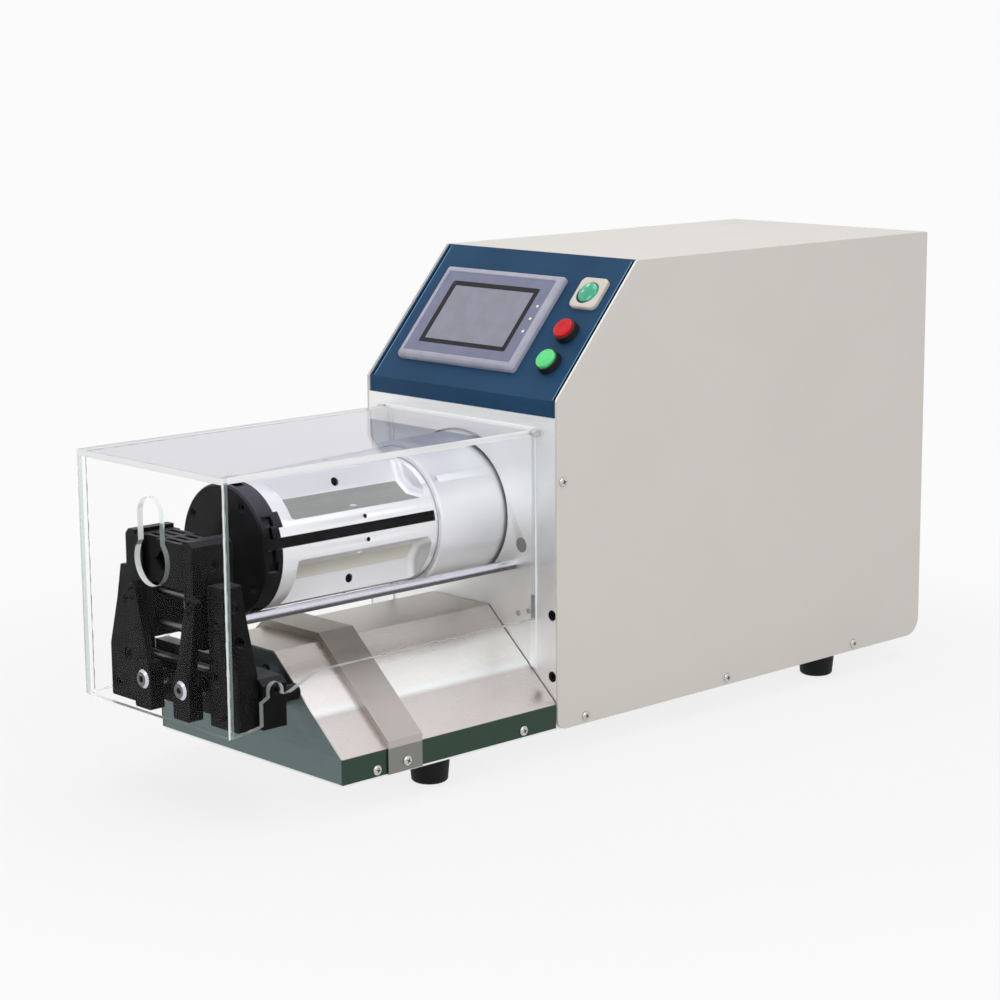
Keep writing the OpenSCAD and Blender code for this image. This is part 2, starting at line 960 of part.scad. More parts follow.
module clamp_neck() {
  color(black)
    place() {
      block(-neck_x, neck_x, block_back, clamp_y + 10, block_low, block_low + 8);
      block(-neck_x, neck_x, clamp_y, clamp_y + 10, base_t, block_low + 0.01);
    }
}

module clamp_motor() {
  color(dark)
    place()
      difference() {
        union() {
          block(9, 37, clamp_y - 10, clamp_y, block_low + 8, 84);
          rod_y(lever_x, lever_z, 14.5, clamp_y - 0.1, clamp_y + 65);
          rod_y(lever_x, lever_z, 8, clamp_y - 17, clamp_y - 9.9);
        }
        rod_y(lever_x, lever_z, 4, clamp_y - 18, clamp_y + 5);
      }
}

module jaw_carrier() {
  place()
    difference() {
      union() {
        along_y(jaw_front, jaw_back)
          polygon([[30, 147], [42, 147], [42, 183], [38, 187], [30, 187]]);
        block(20, 42, -292.5, jaw_back, 105, 147.01);
      }
      rod_x(shaft_y, shaft_hi, shaft_r + gap, 10, 50);
      rod_x(shaft_y, shaft_lo, shaft_r + gap, 10, 50);
      rod_y(pin_x, pin_z, 3, -294, -288);
      rod_x(jaw_screw[0], jaw_screw[1], 4.2, 29, 43);
    }
}

module jaw_pin() {
  place()
    rod_y(pin_x, pin_z, 3, -300.2, -288);
}

// Knife-like fingers with a notch round the spindle axis; first gives the front finger's face.
module comb(first) {
  place()
    difference() {
      union() {
        block(22, 30, jaw_front, jaw_back, 149, 184);
        for (i = [0:3])
          along_y(first + 8.4 * i, first + 8.4 * i + 3.8)
            polygon([[22.01, 149], [notch_a - 14, 149], [notch_a - 14, spindle_z - 14],
              [notch_a, spindle_z], [notch_a - 14, spindle_z + 14], [notch_a - 14, 184], [22.01, 184]]);
        rod_x(jaw_screw[0], jaw_screw[1], 4.2, 30, 40.4);
      }
      translate([38, jaw_screw[0], jaw_screw[1]])
        rotate([0, 90, 0])
          cylinder(r = 2.3, h = 4, $fn = 6);
    }
}

module lever() {
  lean = atan2(pin_x - lever_x, pin_z - lever_z);
  reach = norm([pin_x - lever_x, pin_z - lever_z]);
  place()
    difference() {
      union() {
        along_y(-300, -293.5)
          translate([lever_x, lever_z])
            rotate(-lean)
              difference() {
                polygon(fillet([[-9, 0, 0], [9, 0, 0], [6, reach, 0], [5.9, reach + 7.2, 4.5],
                  [-5.9, reach + 7.2, 4.5], [-6, reach, 0]], 5));
                hull() {
                  translate([0, reach - 2.2])
                    circle(r = 3.3, $fn = 32);
                  translate([0, reach + 2])
                    circle(r = 3.3, $fn = 32);
                }
              }
        along_y(-301, -289)
          polygon(fillet([[lever_x - 10, 50, 2], [lever_x + 11, 50, 2], [lever_x + 11, 78, 6],
            [lever_x + 6, 87, 2], [lever_x - 6, 87, 2], [lever_x - 10, 78, 6]], 4));
      }
      rod_y(lever_x, lever_z, 5, -305, -280);
    }
}

// Lever screw, shaft and toothed sector in one turned piece; s is the rear end, t the first tooth.
module gear_shaft(s, t) {
  place()
    difference() {
      union() {
        cone_y(lever_x, lever_z, 5.6, 7.4, -302.8, -301);
        rod_y(lever_x, lever_z, 5, -301.01, -252);
        rod_y(lever_x, lever_z, 7.2, -289, up_back - 0.2);
        rod_y(lever_x, lever_z, 3.9, -252.5, s);
        along_y(-261, -252)
          translate([lever_x, lever_z])
            rotate(180) {
              circle(r = 8.5);
              polygon([[0, 0], for (i = [0:8]) (gear_r - 2.6) * [cos(-30 + i * 7.5), sin(-30 + i * 7.5)]]);
              for (k = [0:3])
                if (t + 15 * k < 25)
                  rotate(t + 15 * k)
                    polygon([[gear_r - 4, -2], [gear_r - 2.6, -2], [gear_r, -1.3], [gear_r + 1.7, -0.6],
                      [gear_r + 1.7, 0.6], [gear_r, 1.3], [gear_r - 2.6, 2], [gear_r - 4, 2]]);
            }
      }
      translate([lever_x, -304, lever_z])
        rotate([-90, 0, 0])
          cylinder(r = 2.9, h = 4, $fn = 6);
    }
}

module comb_left() {
  color(black)
    mirror([1, 0, 0])
      comb(jaw_front + 4.2);
}

module comb_right() {
  color(black)
    comb(jaw_front);
}

module lever_left() {
  color(black)
    mirror([1, 0, 0])
      lever();
}

module lever_right() {
  color(black)
    lever();
}

module gear_shaft_left() {
  color(steel)
    mirror([1, 0, 0])
      gear_shaft(-251.5, -22.5);
}

module gear_shaft_right() {
  color(steel)
    gear_shaft(clamp_y + 3, -15);
}

// Rotary head

module quill() {
  quill_screw();
  color(alu)
    place()
      difference() {
        union() {
          rod_y(0, spindle_z, quill_r, -quill_out + 1.5, 76);
          cone_y(0, spindle_z, quill_r - 1.5, quill_r, -quill_out, -quill_out + 1.5);
        }
        rod_y(0, spindle_z, cage_r + 0.5, -quill_out - 1, -40);
        rod_y(0, spindle_z, bear_r, -41, 77);
        at_angle(42.4)
          translate([quill_r - 3, -quill_out + 6, 0])
            rotate([0, 90, 0])
              cylinder(r = 3.6, h = 6);
      }
}

module quill_bearings() {
  color(steel)
    place()
      for (y = [-38, 50])
        difference() {
          rod_y(0, spindle_z, bear_r, y, y + 20);
          rod_y(0, spindle_z, 25 + gap, y - 1, y + 21);
          for (f = [y - 1, y + 19])
            difference() {
              rod_y(0, spindle_z, 41, f, f + 2);
              rod_y(0, spindle_z, 31, f - 1, f + 3);
            }
        }
}

module quill_screw() {
  color(black)
    place()
      at_angle(42.4)
        translate([quill_r - 3, -quill_out + 6, 0])
          rotate([0, 90, 0])
            difference() {
              cylinder(r = 3.6, h = 2.8);
              translate([0, 0, 1])
                cylinder(r = 1.9, h = 4, $fn = 6);
            }
}

module spindle() {
  spindle_pulley();
  color(steel)
    place()
      difference() {
        union() {
          rod_y(0, spindle_z, 45, -56, -44);
          rod_y(0, spindle_z, 25, -44.01, 198);
        }
        rod_y(0, spindle_z, 14 + gap, -60, 200);
      }
}

module spindle_pulley() {
  color(dark)
    place()
      difference() {
        union() {
          rod_y(0, spindle_z, pulley_big, belt_y0, belt_y1);
          rod_y(0, spindle_z, pulley_big + 4, belt_y0 - 1.5, belt_y0);
          rod_y(0, spindle_z, pulley_big + 4, belt_y1, belt_y1 + 1.5);
        }
        rod_y(0, spindle_z, 25, belt_y0 - 3, belt_y1 + 3);
      }
}

// One side of a milled pocket, d from the axis, with the cutter's round at its two ends.
module pocket_side(a, d) {
  rotate([0, -a, 0])
    translate([d, win_front, 0])
      linear_extrude(140, center = true)
        polygon(fillet([[0, 0, 3], [60, 0, 0], [60, win_back - win_front, 0],
          [0, win_back - win_front, 7]], 5));
}

module cage() {
  color(alu)
    place()
      difference() {
        rod_y(0, spindle_z, cage_r, ring_back, -56);
        rod_y(0, spindle_z, 24, ring_back - 1, -50);
        rod_y(0, spindle_z, 28, -75, -50);
        at_angle(bar_a + key_a)
          block(cage_r - 4 - gap, 60, ring_back - 1, ring_back + 4.9 + gap, -6.5 - gap, 6.5 + gap);
        for (a = arm_angles)
          at_angle(a) {
            intersection() {
              pocket_side(draft_a, wall_d);
              pocket_side(45, floor_d);
              pocket_side(90 - draft_a, wall_d);
            }
            block(20, 60, ring_back - 1, win_back + 3.3, -arm_w / 2 - 0.15, arm_w / 2 + 0.15);
            translate([pivot_r, pivot_y, -bar_w / 2 - 6])
              cylinder(r = 3.5, h = bar_w + 12);
            for (z = [-9, 9])
              translate([cage_r - 6, pivot_y, z])
                rotate([0, 90, 0])
                  cylinder(r = 1.7, h = 8);
          }
        rod_y(0, spindle_z, 31, win_front, win_back - 8);
        cone_y(0, spindle_z, 31, 26, win_back - 8.01, win_back + 1);
      }
}

module cage_screws() {
  color(black)
    place()
      for (a = arm_angles) {
        at_angle(a) {
          translate([pivot_r, pivot_y, -bar_w / 2 - 1.2])
            cylinder(r = 3.5, h = bar_w + 2.4);
          for (z = [-9, 9])
            translate([cage_r - 6, pivot_y, z])
              rotate([0, 90, 0])
                cylinder(r = 1.7, h = 5.4);
        }
      }
}

module head_ring() {
  color(black)
    place()
      difference() {
        union() {
          rod_y(0, spindle_z, ring_r, ring_front + 1.5, ring_back);
          cone_y(0, spindle_z, ring_r - 1.5, ring_r, ring_front, ring_front + 1.5);
          intersection() {
            at_angle(bar_a + key_a)
              block(cage_r - 4, 60, ring_back - 1, ring_back + 4.9, -6.5, 6.5);
            rod_y(0, spindle_z, cage_r, ring_back - 2, ring_back + 6);
          }
        }
        rod_y(0, spindle_z, 11, ring_front - 1, ring_back);
        rod_y(0, spindle_z, 37, ring_front + 3, ring_back + 1);
        for (a = arm_angles) {
          at_angle(a) {
            block(30, 60, ring_front + 3.4, ring_back + 1, -arm_w / 2 - 0.3, arm_w / 2 + 0.3);
            block(cage_r - 3.6, 60, -234.2, -230.8, -17, 17);
            for (m = [-1, 1])
              rotate([0, m * 19.9, 0])
                block(cage_r - 3.2, 60, -237, -228, -4, 4);
          }
          at_angle(a + 45)
            rod_y(head_screw_r, 0, 3.6, ring_front - 1, ring_front + 6);
        }
      }
}

module head_screws() {
  cage_screws();
  color(black)
    place()
      for (a = arm_angles)
        at_angle(a + 45)
          difference() {
            rod_y(head_screw_r, 0, 3.6, ring_front + 1, ring_front + 6);
            translate([head_screw_r, ring_front, 0])
              rotate([-90, 0, 0])
                cylinder(r = 1.8, h = 3.4, $fn = 6);
          }
}

module push_cone() {
  color(steel)
    place()
      difference() {
        union() {
          cone_y(0, spindle_z, cone_at(cone_y0), cone_at(cone_y1), cone_y0, cone_y1);
          rod_y(0, spindle_z, 14, cone_y1 - 1, 240);
          rod_y(0, spindle_z, 22, 221, 226);
          rod_y(0, spindle_z, 22, 232, 240);
        }
        rod_y(0, spindle_z, 9, cone_y0 - 1, 241);
      }
}

// One knife arm: x outward from the spindle axis, y to the back.
module arm(k) {
  color(black)
    place()
      at_angle(arm_angles[k])
        difference() {
          translate([0, 0, -arm_w / 2])
            linear_extrude(arm_w) {
              polygon([[cage_r - 1, win_back + 3], [36, win_back + 3], [26, -75.6], [22, -80.3], [36, -92],
                [36, -128], [31, -134], [31, -146], [36, -152], [36, -219], [29, -227],
                [29, ring_front + 4.5], [cage_r - 1, ring_front + 4.5]]);
              translate([24, -78])
                circle(r = 3, $fn = 40);
            }
          translate([pivot_r, pivot_y, -arm_w])
            cylinder(r = 3.5 + gap, h = 2 * arm_w);
        }
}

module arm_1() {
  arm(0);
  blade(0);
}

module arm_2() {
  arm(1);
  centring(1);
}

module arm_3() {
  arm(2);
  blade(2);
}

module arm_4() {
  arm(3);
  centring(3);
}

// Cutting blade of one arm, a flat plate with a bevelled edge towards the axis.
module blade(k) {
  color(steel)
    place()
      at_angle(arm_angles[k])
        translate([9, -236, 0])
          rotate([-90, 0, 0])
            linear_extrude(2.5)
              polygon([[0, -5], [20, -10], [20, 10], [0, 5]]);
}

// Centring block of one arm.
module centring(k) {
  color(alu)
    place()
      at_angle(arm_angles[k])
        translate([9, -232, 0])
          rotate([-90, 0, 0])
            linear_extrude(4.5)
              polygon([[0, -4], [8, -8], [20, -8], [20, 8], [8, 8], [0, 4]]);
}

// Drive inside the cabinet

module carriage() {
  color(alu)
    place()
      difference() {
        union() {
          block(-72, 72, 24, 76, deck_z + deck_t, spindle_z + quill_r + 10);
          block(-80, 80, 24, 220, deck_z, deck_z + deck_t);
          for (y = [36, 176])
            both()
              block(46, 74, y, y + 34, rail_top - 9, deck_z);
          block(-20, 20, 60, 96, 20, deck_z);
          block(-42, 42, 160, 168, deck_z + deck_t - 0.01, mot_z + 34);
        }
        rod_y(0, spindle_z, quill_r, 20, 80);
        both()
          block(52.5 - gap, 67.5 + gap, 20, 230, 10, rail_top + gap);
        rod_y(0, screw_z, 8 + gap, 50, 100);
        rod_y(0, mot_z, 12, 155, 172);
      }
}

module spindle_motor() {
  color(dark)
    place()
      difference() {
        union() {
          rod_y(0, mot_z, 34, 84, 160);
          rod_y(0, mot_z, 12, 159.9, 167);
        }
        rod_y(0, mot_z, 5 + gap, 140, 170);
      }
}

module motor_pulley() {
  color(dark)
    place() {
      rod_y(0, mot_z, pulley_small, belt_y0, belt_y1);
      rod_y(0, mot_z, pulley_small + 3, belt_y0 - 1.5, belt_y0);
      rod_y(0, mot_z, pulley_small + 3, belt_y1, belt_y1 + 1.5);
      rod_y(0, mot_z, 5, 141, belt_y0);
    }
}

// Toothless belt band round both pulleys with a running gap.
module drive_belt() {
  d = spindle_z - mot_z;
  q = asin((pulley_big - pulley_small) / d);
  color(black)
    place()
      along_y(belt_y0 + 1, belt_y1 - 1)
        difference() {
          belt2d(2.2, d, q);
          belt2d(0.12, d, q);
        }
}

module belt2d(e, d, q) {
  polygon(concat(
    [for (i = [0:40]) let (a = -q + i * (180 + 2 * q) / 40)
      [(pulley_big + e) * cos(a), spindle_z + (pulley_big + e) * sin(a)]],
    [for (i = [0:40]) let (a = 180 + q + i * (180 - 2 * q) / 40)
      [(pulley_small + e) * cos(a), mot_z + (pulley_small + e) * sin(a)]]));
}

module cone_motor() {
  color(dark)
    place()
      difference() {
        union() {
          block(34, 76, 88, 150, deck_z + deck_t, deck_z + deck_t + 42);
        }
        rod_y(55, deck_z + deck_t + 21, 5 + gap, 100, 160);
      }
}

module cone_fork() {
  zf = deck_z + deck_t + 21;
  color(alu)
    place() {
      rod_y(55, zf, 5, 124, 226.2);
      along_y(226.2, 231.8)
        difference() {
          polygon([[40, zf - 12], [68, zf - 12], [68, zf + 14], [30, spindle_z + 6],
            [-30, spindle_z + 6], [-30, spindle_z - 24]]);
          translate([0, spindle_z])
            circle(r = 14.3, $fn = 64);
          translate([-14.3, spindle_z])
            square([28.6, 20]);
        }
    }
}

module feed_rails() {
  color(steel)
    place()
      difference() {
        both()
          block(52.5, 67.5, 20, drive_end - 76, base_t, rail_top);
      }
}

module feed_screw() {
  color(steel)
    place() {
      rod_y(0, screw_z, 8, 30, drive_end - 70);
      rod_y(0, screw_z, 5, 20, 31);
      rod_y(0, screw_z, 5, drive_end - 70.1, drive_end - 48);
    }
}

module feed_motor() {
  color(dark)
    place() {
      difference() {
        union() {
          block(-21, 21, drive_end - 50, drive_end, screw_z - 21, screw_z + 21);
          block(-30, 30, drive_end - 60, drive_end - 49.99, base_t, screw_z + 24);
        }
        rod_y(0, screw_z, 5 + gap, drive_end - 66, drive_end - 36);
      }
      difference() {
        block(-18, 18, 20, 29, base_t, screw_z + 11);
        rod_y(0, screw_z, 5 + gap, 18, 30);
      }
    }
}

module inner_wall() {
  color(alu)
    place()
      difference() {
        block(9 - in_w, in_w - 9, wall_y, wall_y + wall_t, base_t, lip_z - 2.6);
        block(-30, 30, wall_y - 1, wall_y + wall_t + 1, base_t - 1, 60);
      }
}

module power_supply() {
  color([0.6, 0.62, 0.62])
    place()
      difference() {
        block(17 - in_w, -6, wall_y + wall_t, wall_y + wall_t + box_t, box_z, box_z + 150);
        for (i = [0:8])
          block(27 - in_w, -16, wall_y + wall_t + box_t - 1.5, wall_y + wall_t + box_t + 1,
            box_z + 16 + i * 14, box_z + 20 + i * 14);
      }
}

module control_board() {
  color([0.08, 0.35, 0.20])
    place() {
      block(12, in_w - 17, board_y, board_y + 2, box_z + 4, box_z + 146);
      for (x = [18, in_w - 23])
        for (z = [box_z + 10, box_z + 140])
          rod_y(x, z, 3, wall_y + wall_t, board_y + 0.01);
      block(30, 60, board_y + 1.99, board_y + 7, box_z + 40, box_z + 70);
      block(in_w - 43, in_w - 27, board_y + 1.99, board_y + 14, box_z + 20, box_z + 130);
      block(20, 60, board_y + 1.99, board_y + 11, box_z + 110, box_z + 125);
    }
}

// Merged nodes: pieces of one kind that belong to one body.

module dome_screws() {
  panel_screws();
  hood_screws();
  plate_plugs();
}

module brackets() {
  gussets();
  inner_wall();
}

module black_bolts() {
  plate_bolts();
  clamp_bolts();
  cover_catch();
}

module clamp_bars() {
  cross_shafts();
  top_bar();
}

module jaw_left() {
  color(black)
    mirror([1, 0, 0]) {
      jaw_carrier();
      jaw_pin();
    }
}

module jaw_right() {
  color(black) {
    jaw_carrier();
    jaw_pin();
  }
}

base_plate();
feet();
side_cover();
control_panel();
rear_panel();
inlet();
dome_screws();
brackets();
front_plate();
seat_plate();
black_bolts();
hmi_case();
hmi_screen();
switch_plate();
power_rocker();
button_collars();
red_button();
green_button();
cover();
hinge_blocks();
hood();
hood_end();
hood_strap();
guide_rods();
uprights();
cross_block();
clamp_bars();
clamp_neck();
clamp_motor();
jaw_left();
comb_left();
jaw_right();
comb_right();
lever_left();
lever_right();
gear_shaft_left();
gear_shaft_right();
quill();
quill_bearings();
carriage();
spindle_motor();
motor_pulley();
drive_belt();
cone_motor();
cone_fork();
spindle();
cage();
head_ring();
head_screws();
push_cone();
arm_1();
arm_2();
arm_3();
arm_4();
feed_rails();
feed_screw();
feed_motor();
power_supply();
control_board();
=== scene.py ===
"""Looks for a coaxial cable stripping machine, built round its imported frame.

The construction comes from the frame: every node sits where the CAD put it. Here each node gets the finish of the
real piece and its broken edges, and the small pieces that the CAD leaves out are added as numpy surfaces.
Sizes in this file are millimetres, turned to metres where a mesh is made. X is to the right seen from the cable
end, Y runs to the back of the machine and Z is up.
"""

import json
import logging
import math
from dataclasses import dataclass, field
from enum import Enum
from typing import Any, Callable, ClassVar, Iterable, Optional, Sequence

import bmesh
import bpy
import numpy as np
from mathutils import Matrix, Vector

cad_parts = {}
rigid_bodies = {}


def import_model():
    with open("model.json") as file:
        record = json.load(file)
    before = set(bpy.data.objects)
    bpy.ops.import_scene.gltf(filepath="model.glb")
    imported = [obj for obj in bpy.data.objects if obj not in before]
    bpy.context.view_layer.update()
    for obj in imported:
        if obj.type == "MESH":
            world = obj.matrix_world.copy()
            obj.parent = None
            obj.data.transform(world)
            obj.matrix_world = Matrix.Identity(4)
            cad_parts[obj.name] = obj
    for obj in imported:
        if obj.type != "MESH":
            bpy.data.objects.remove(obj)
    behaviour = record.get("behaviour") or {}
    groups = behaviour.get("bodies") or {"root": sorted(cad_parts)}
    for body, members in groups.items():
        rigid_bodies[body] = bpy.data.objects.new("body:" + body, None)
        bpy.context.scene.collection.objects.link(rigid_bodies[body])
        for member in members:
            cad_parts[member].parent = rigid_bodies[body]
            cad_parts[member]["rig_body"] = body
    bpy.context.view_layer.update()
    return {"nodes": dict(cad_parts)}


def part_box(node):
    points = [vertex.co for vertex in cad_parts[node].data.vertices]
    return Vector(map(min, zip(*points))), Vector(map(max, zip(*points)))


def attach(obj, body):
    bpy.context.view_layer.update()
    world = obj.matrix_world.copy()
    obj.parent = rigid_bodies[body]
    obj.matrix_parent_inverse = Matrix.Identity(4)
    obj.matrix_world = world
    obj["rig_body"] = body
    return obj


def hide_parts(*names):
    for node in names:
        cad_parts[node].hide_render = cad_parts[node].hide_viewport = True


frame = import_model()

MM = 0.001
WELD_GAP = 2e-6  # metres between points that are one
SLIVER = 1e-6  # metres, under which an edge has no length
FLAT_DEGREES = 0.4
EDGE_STEPS = 2
PROUD = 0.04  # millimetres that a mark lies above its surface
FACE_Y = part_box("front_plate")[0].y / MM
FOOT_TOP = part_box("side_cover")[0].z / MM
log = logging.getLogger("coaxial_stripper")

Pair = tuple[float, float]
Point = tuple[float, float, float]
Socket = bpy.types.NodeSocket


# Places


@dataclass(frozen=True)
class Panel:
    """The sloping control panel as a drawing plane: x to the right, s up the slope, n out of it, in millimetres."""

    foot_z: float = 267.2
    run: float = 90.5
    rise: float = 103.7

    def place(self, points: np.ndarray) -> np.ndarray:
        """Turns panel points into the row frame.

        A point is x, then s along the slope's direction (0, cos a, sin a), then n along its normal (0, -sin a, cos a).

        Args:
            points: N by 3 array of x, s, n in millimetres.

        Returns:
            The same points as x, y, z in millimetres.
        """
        a = math.atan2(self.rise, self.run)
        x, s, n = points.T
        y = FACE_Y + s * math.cos(a) - n * math.sin(a)
        z = FOOT_TOP + self.foot_z + s * math.sin(a) + n * math.cos(a)
        return np.column_stack([x, y, z])


def from_face(points: np.ndarray) -> np.ndarray:
    """Points given from the front plate's face and the cabinet's underside, in the row frame, in millimetres."""
    return points + np.array([0.0, FACE_Y, FOOT_TOP])


# Surfaces


def swung(u: np.ndarray, v: np.ndarray, angle: float) -> tuple[np.ndarray, np.ndarray]:
    """Two coordinates turned by an angle a: u cos a - v sin a, and u sin a + v cos a."""
    return u * math.cos(angle) - v * math.sin(angle), u * math.sin(angle) + v * math.cos(angle)


def grid_faces(rows: int, cols: int, round_cols: bool = True) -> np.ndarray:
    """Quads between neighbouring rows and columns of a grid of points, counted row by row.

    Args:
        rows: How many rows of points there are.
        cols: How many points a row has.
        round_cols: True where the last point of a row is joined to its first.

    Returns:
        An array of quads, each as four point numbers, anticlockwise seen from outside when the rows climb.
    """
    r = np.arange(rows - 1)[:, None]
    c = np.arange(cols if round_cols else cols - 1)[None, :]
    nxt = (c + 1) % cols
    corners = (r * cols + c, r * cols + nxt, (r + 1) * cols + nxt, (r + 1) * cols + c)
    return np.stack(corners, axis=-1).reshape(-1, 4)


def turned(profile: Sequence[Pair], steps: int, ripple: Optional[Callable] = None) -> tuple:
    """Surface of revolution: a profile of radius and height turned round z, with its two ends closed by a fan.

    A point is (r cos t, r sin t, h), where t runs over the full turn and ripple may change r with t and h.

    Args:
        profile: Pairs of radius and height, from the low end to the high end, in millimetres.
        steps: How many points go round.
        ripple: Takes the radii, heights and angles as arrays and gives the changed radii.

    Returns:
        The points and the faces.
    """
    p = np.array(profile, float)
    t = np.linspace(0, 2 * math.pi, steps, endpoint=False)[None, :]
    r = np.repeat(p[:, :1], steps, axis=1)
    h = np.repeat(p[:, 1:], steps, axis=1)
    if ripple is not None:
        r = ripple(r, h, t)
    points = np.stack([r * np.cos(t), r * np.sin(t), h], axis=-1).reshape(-1, 3)
    faces = grid_faces(len(p), steps).tolist()
    low, high = len(points), len(points) + 1
    points = np.vstack([points, [[0, 0, p[0, 1]], [0, 0, p[-1, 1]]]])
    last = (len(p) - 1) * steps
    faces += [[low, (i + 1) % steps, i] for i in range(steps)]
    faces += [[high, last + i, last + (i + 1) % steps] for i in range(steps)]
    return points, faces


def rounded_loop(width: float, height: float, radius: float, steps: int = 8) -> np.ndarray:
    """Outline of a rounded rectangle about the origin: four quarter arcs whose centres sit at the inner corners.

    Args:
        width: Size along x.
        height: Size along y.
        radius: Corner radius.
        steps: Points on each quarter arc.

    Returns:
        4 * steps points, anticlockwise.
    """
    t = (np.arange(4)[:, None] * 90 + np.linspace(0, 90, steps)[None, :]) * math.pi / 180
    sx = np.array([1, -1, -1, 1])[:, None] * (width / 2 - radius)
    sy = np.array([1, 1, -1, -1])[:, None] * (height / 2 - radius)
    return np.stack([sx + radius * np.cos(t), sy + radius * np.sin(t)], axis=-1).reshape(-1, 2)


def level(width: float, height: float, radius: float, z: float, steps: int = 8) -> np.ndarray:
    """A rounded rectangle's outline at the height z."""
    return np.column_stack([rounded_loop(width, height, radius, steps), np.full(4 * steps, z)])


def framed(width: float, height: float, radius: float, profile: Sequence[Pair], steps: int = 8) -> tuple:
    """Profile carried round a rounded rectangle: each profile step is the outline shrunk by its inset, at its height.

    Args:
        width: Outer size along x.
        height: Outer size along y.
        radius: Outer corner radius, which shrinks with the inset down to a tenth of a millimetre.
        profile: Pairs of inset and height, from the outside inwards.
        steps: Points on each corner.

    Returns:
        The points, row by row, and the quads between them.
    """
    rows = [level(width - 2 * i, height - 2 * i, max(radius - i, 0.1), h, steps) for i, h in profile]
    return np.vstack(rows), grid_faces(len(rows), 4 * steps).tolist()


def shown(name: str, data: bpy.types.ID) -> bpy.types.Object:
    """A new object with the given data, linked to the scene."""
    thing = bpy.data.objects.new(name, data)
    bpy.context.scene.collection.objects.link(thing)
    return thing


def smoothed(mesh: bpy.types.Mesh, sharp: float) -> None:
    """Shades a mesh smooth, except at edges that turn more than sharp degrees."""
    mesh.polygons.foreach_set("use_smooth", np.ones(len(mesh.polygons), bool))
    mesh.set_sharp_from_angle(angle=math.radians(sharp))


def make_piece(name: str, points: np.ndarray, faces: Sequence, finish: "Finish", body: str, sharp: float = 35.0):
    """Puts a surface into a mesh object in the row frame, smooth except at its sharp edges, and rides it on a body.

    Args:
        name: The piece's name.
        points: N by 3 array in millimetres, already placed.
        faces: Lists of point numbers.
        finish: What it is made of.
        body: The CAD body that carries it.
        sharp: Edges that turn more than this many degrees stay sharp.

    Returns:
        The new object.
    """
    mesh = bpy.data.meshes.new(name)
    mesh.from_pydata((points * MM).tolist(), [], [list(f) for f in faces])
    mesh.validate()
    smoothed(mesh, sharp)
    mesh.materials.append(finish.material())
    piece = shown(name, mesh)
    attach(piece, body)
    log.info("%s rides on %s: %s", name, body, finish.name)
    return piece


def joined(parts: Iterable[tuple[np.ndarray, Sequence]]) -> tuple:
    """Several surfaces as one list of points and one list of faces.

    Args:
        parts: Pairs of points and faces.

    Returns:
        The joined points and faces.
    """
    points, faces, start = [], [], 0
    for p, f in parts:
        points.append(p)
        faces += [[start + i for i in face] for face in f]
        start += len(p)
    return np.vstack(points), faces


# Finishes


def linear(colour: str) -> tuple[float, float, float, float]:
    """Linear colour of an sRGB hex value.

    Below 0.04045 a channel is divided by 12.92, and above it is ((c + 0.055) / 1.055) to the power 2.4.

    Args:
        colour: Six hex digits after a hash.

    Returns:
        Red, green, blue and an alpha of 1.
    """
    c = np.array([int(colour[i:i + 2], 16) for i in (1, 3, 5)]) / 255
    c = np.where(c <= 0.04045, c / 12.92, ((c + 0.055) / 1.055) ** 2.4)
    return (float(c[0]), float(c[1]), float(c[2]), 1.0)


def per_mm(size: float) -> float:
    """Scale of a pattern on Object coordinates, which are metres, whose features are size millimetres across."""
    return 1 / (size * MM)


def add(tree: bpy.types.NodeTree, kind: str, inputs: Optional[dict] = None, **settings: Any) -> bpy.types.Node:
    """Adds a node with its settings and links.

    Args:
        tree: The material's or the world's node tree.
        kind: The node's type.
        inputs: Socket name or number to a value, or to the output socket that feeds it.
        settings: The node's own properties.

    Returns:
        The node.
    """
    node = tree.nodes.new(kind)
    for key, value in settings.items():
        setattr(node, key, value)
    for key, value in (inputs or {}).items():
        if isinstance(value, Socket):
            tree.links.new(value, node.inputs[key])
        else:
            node.inputs[key].default_value = value
    return node


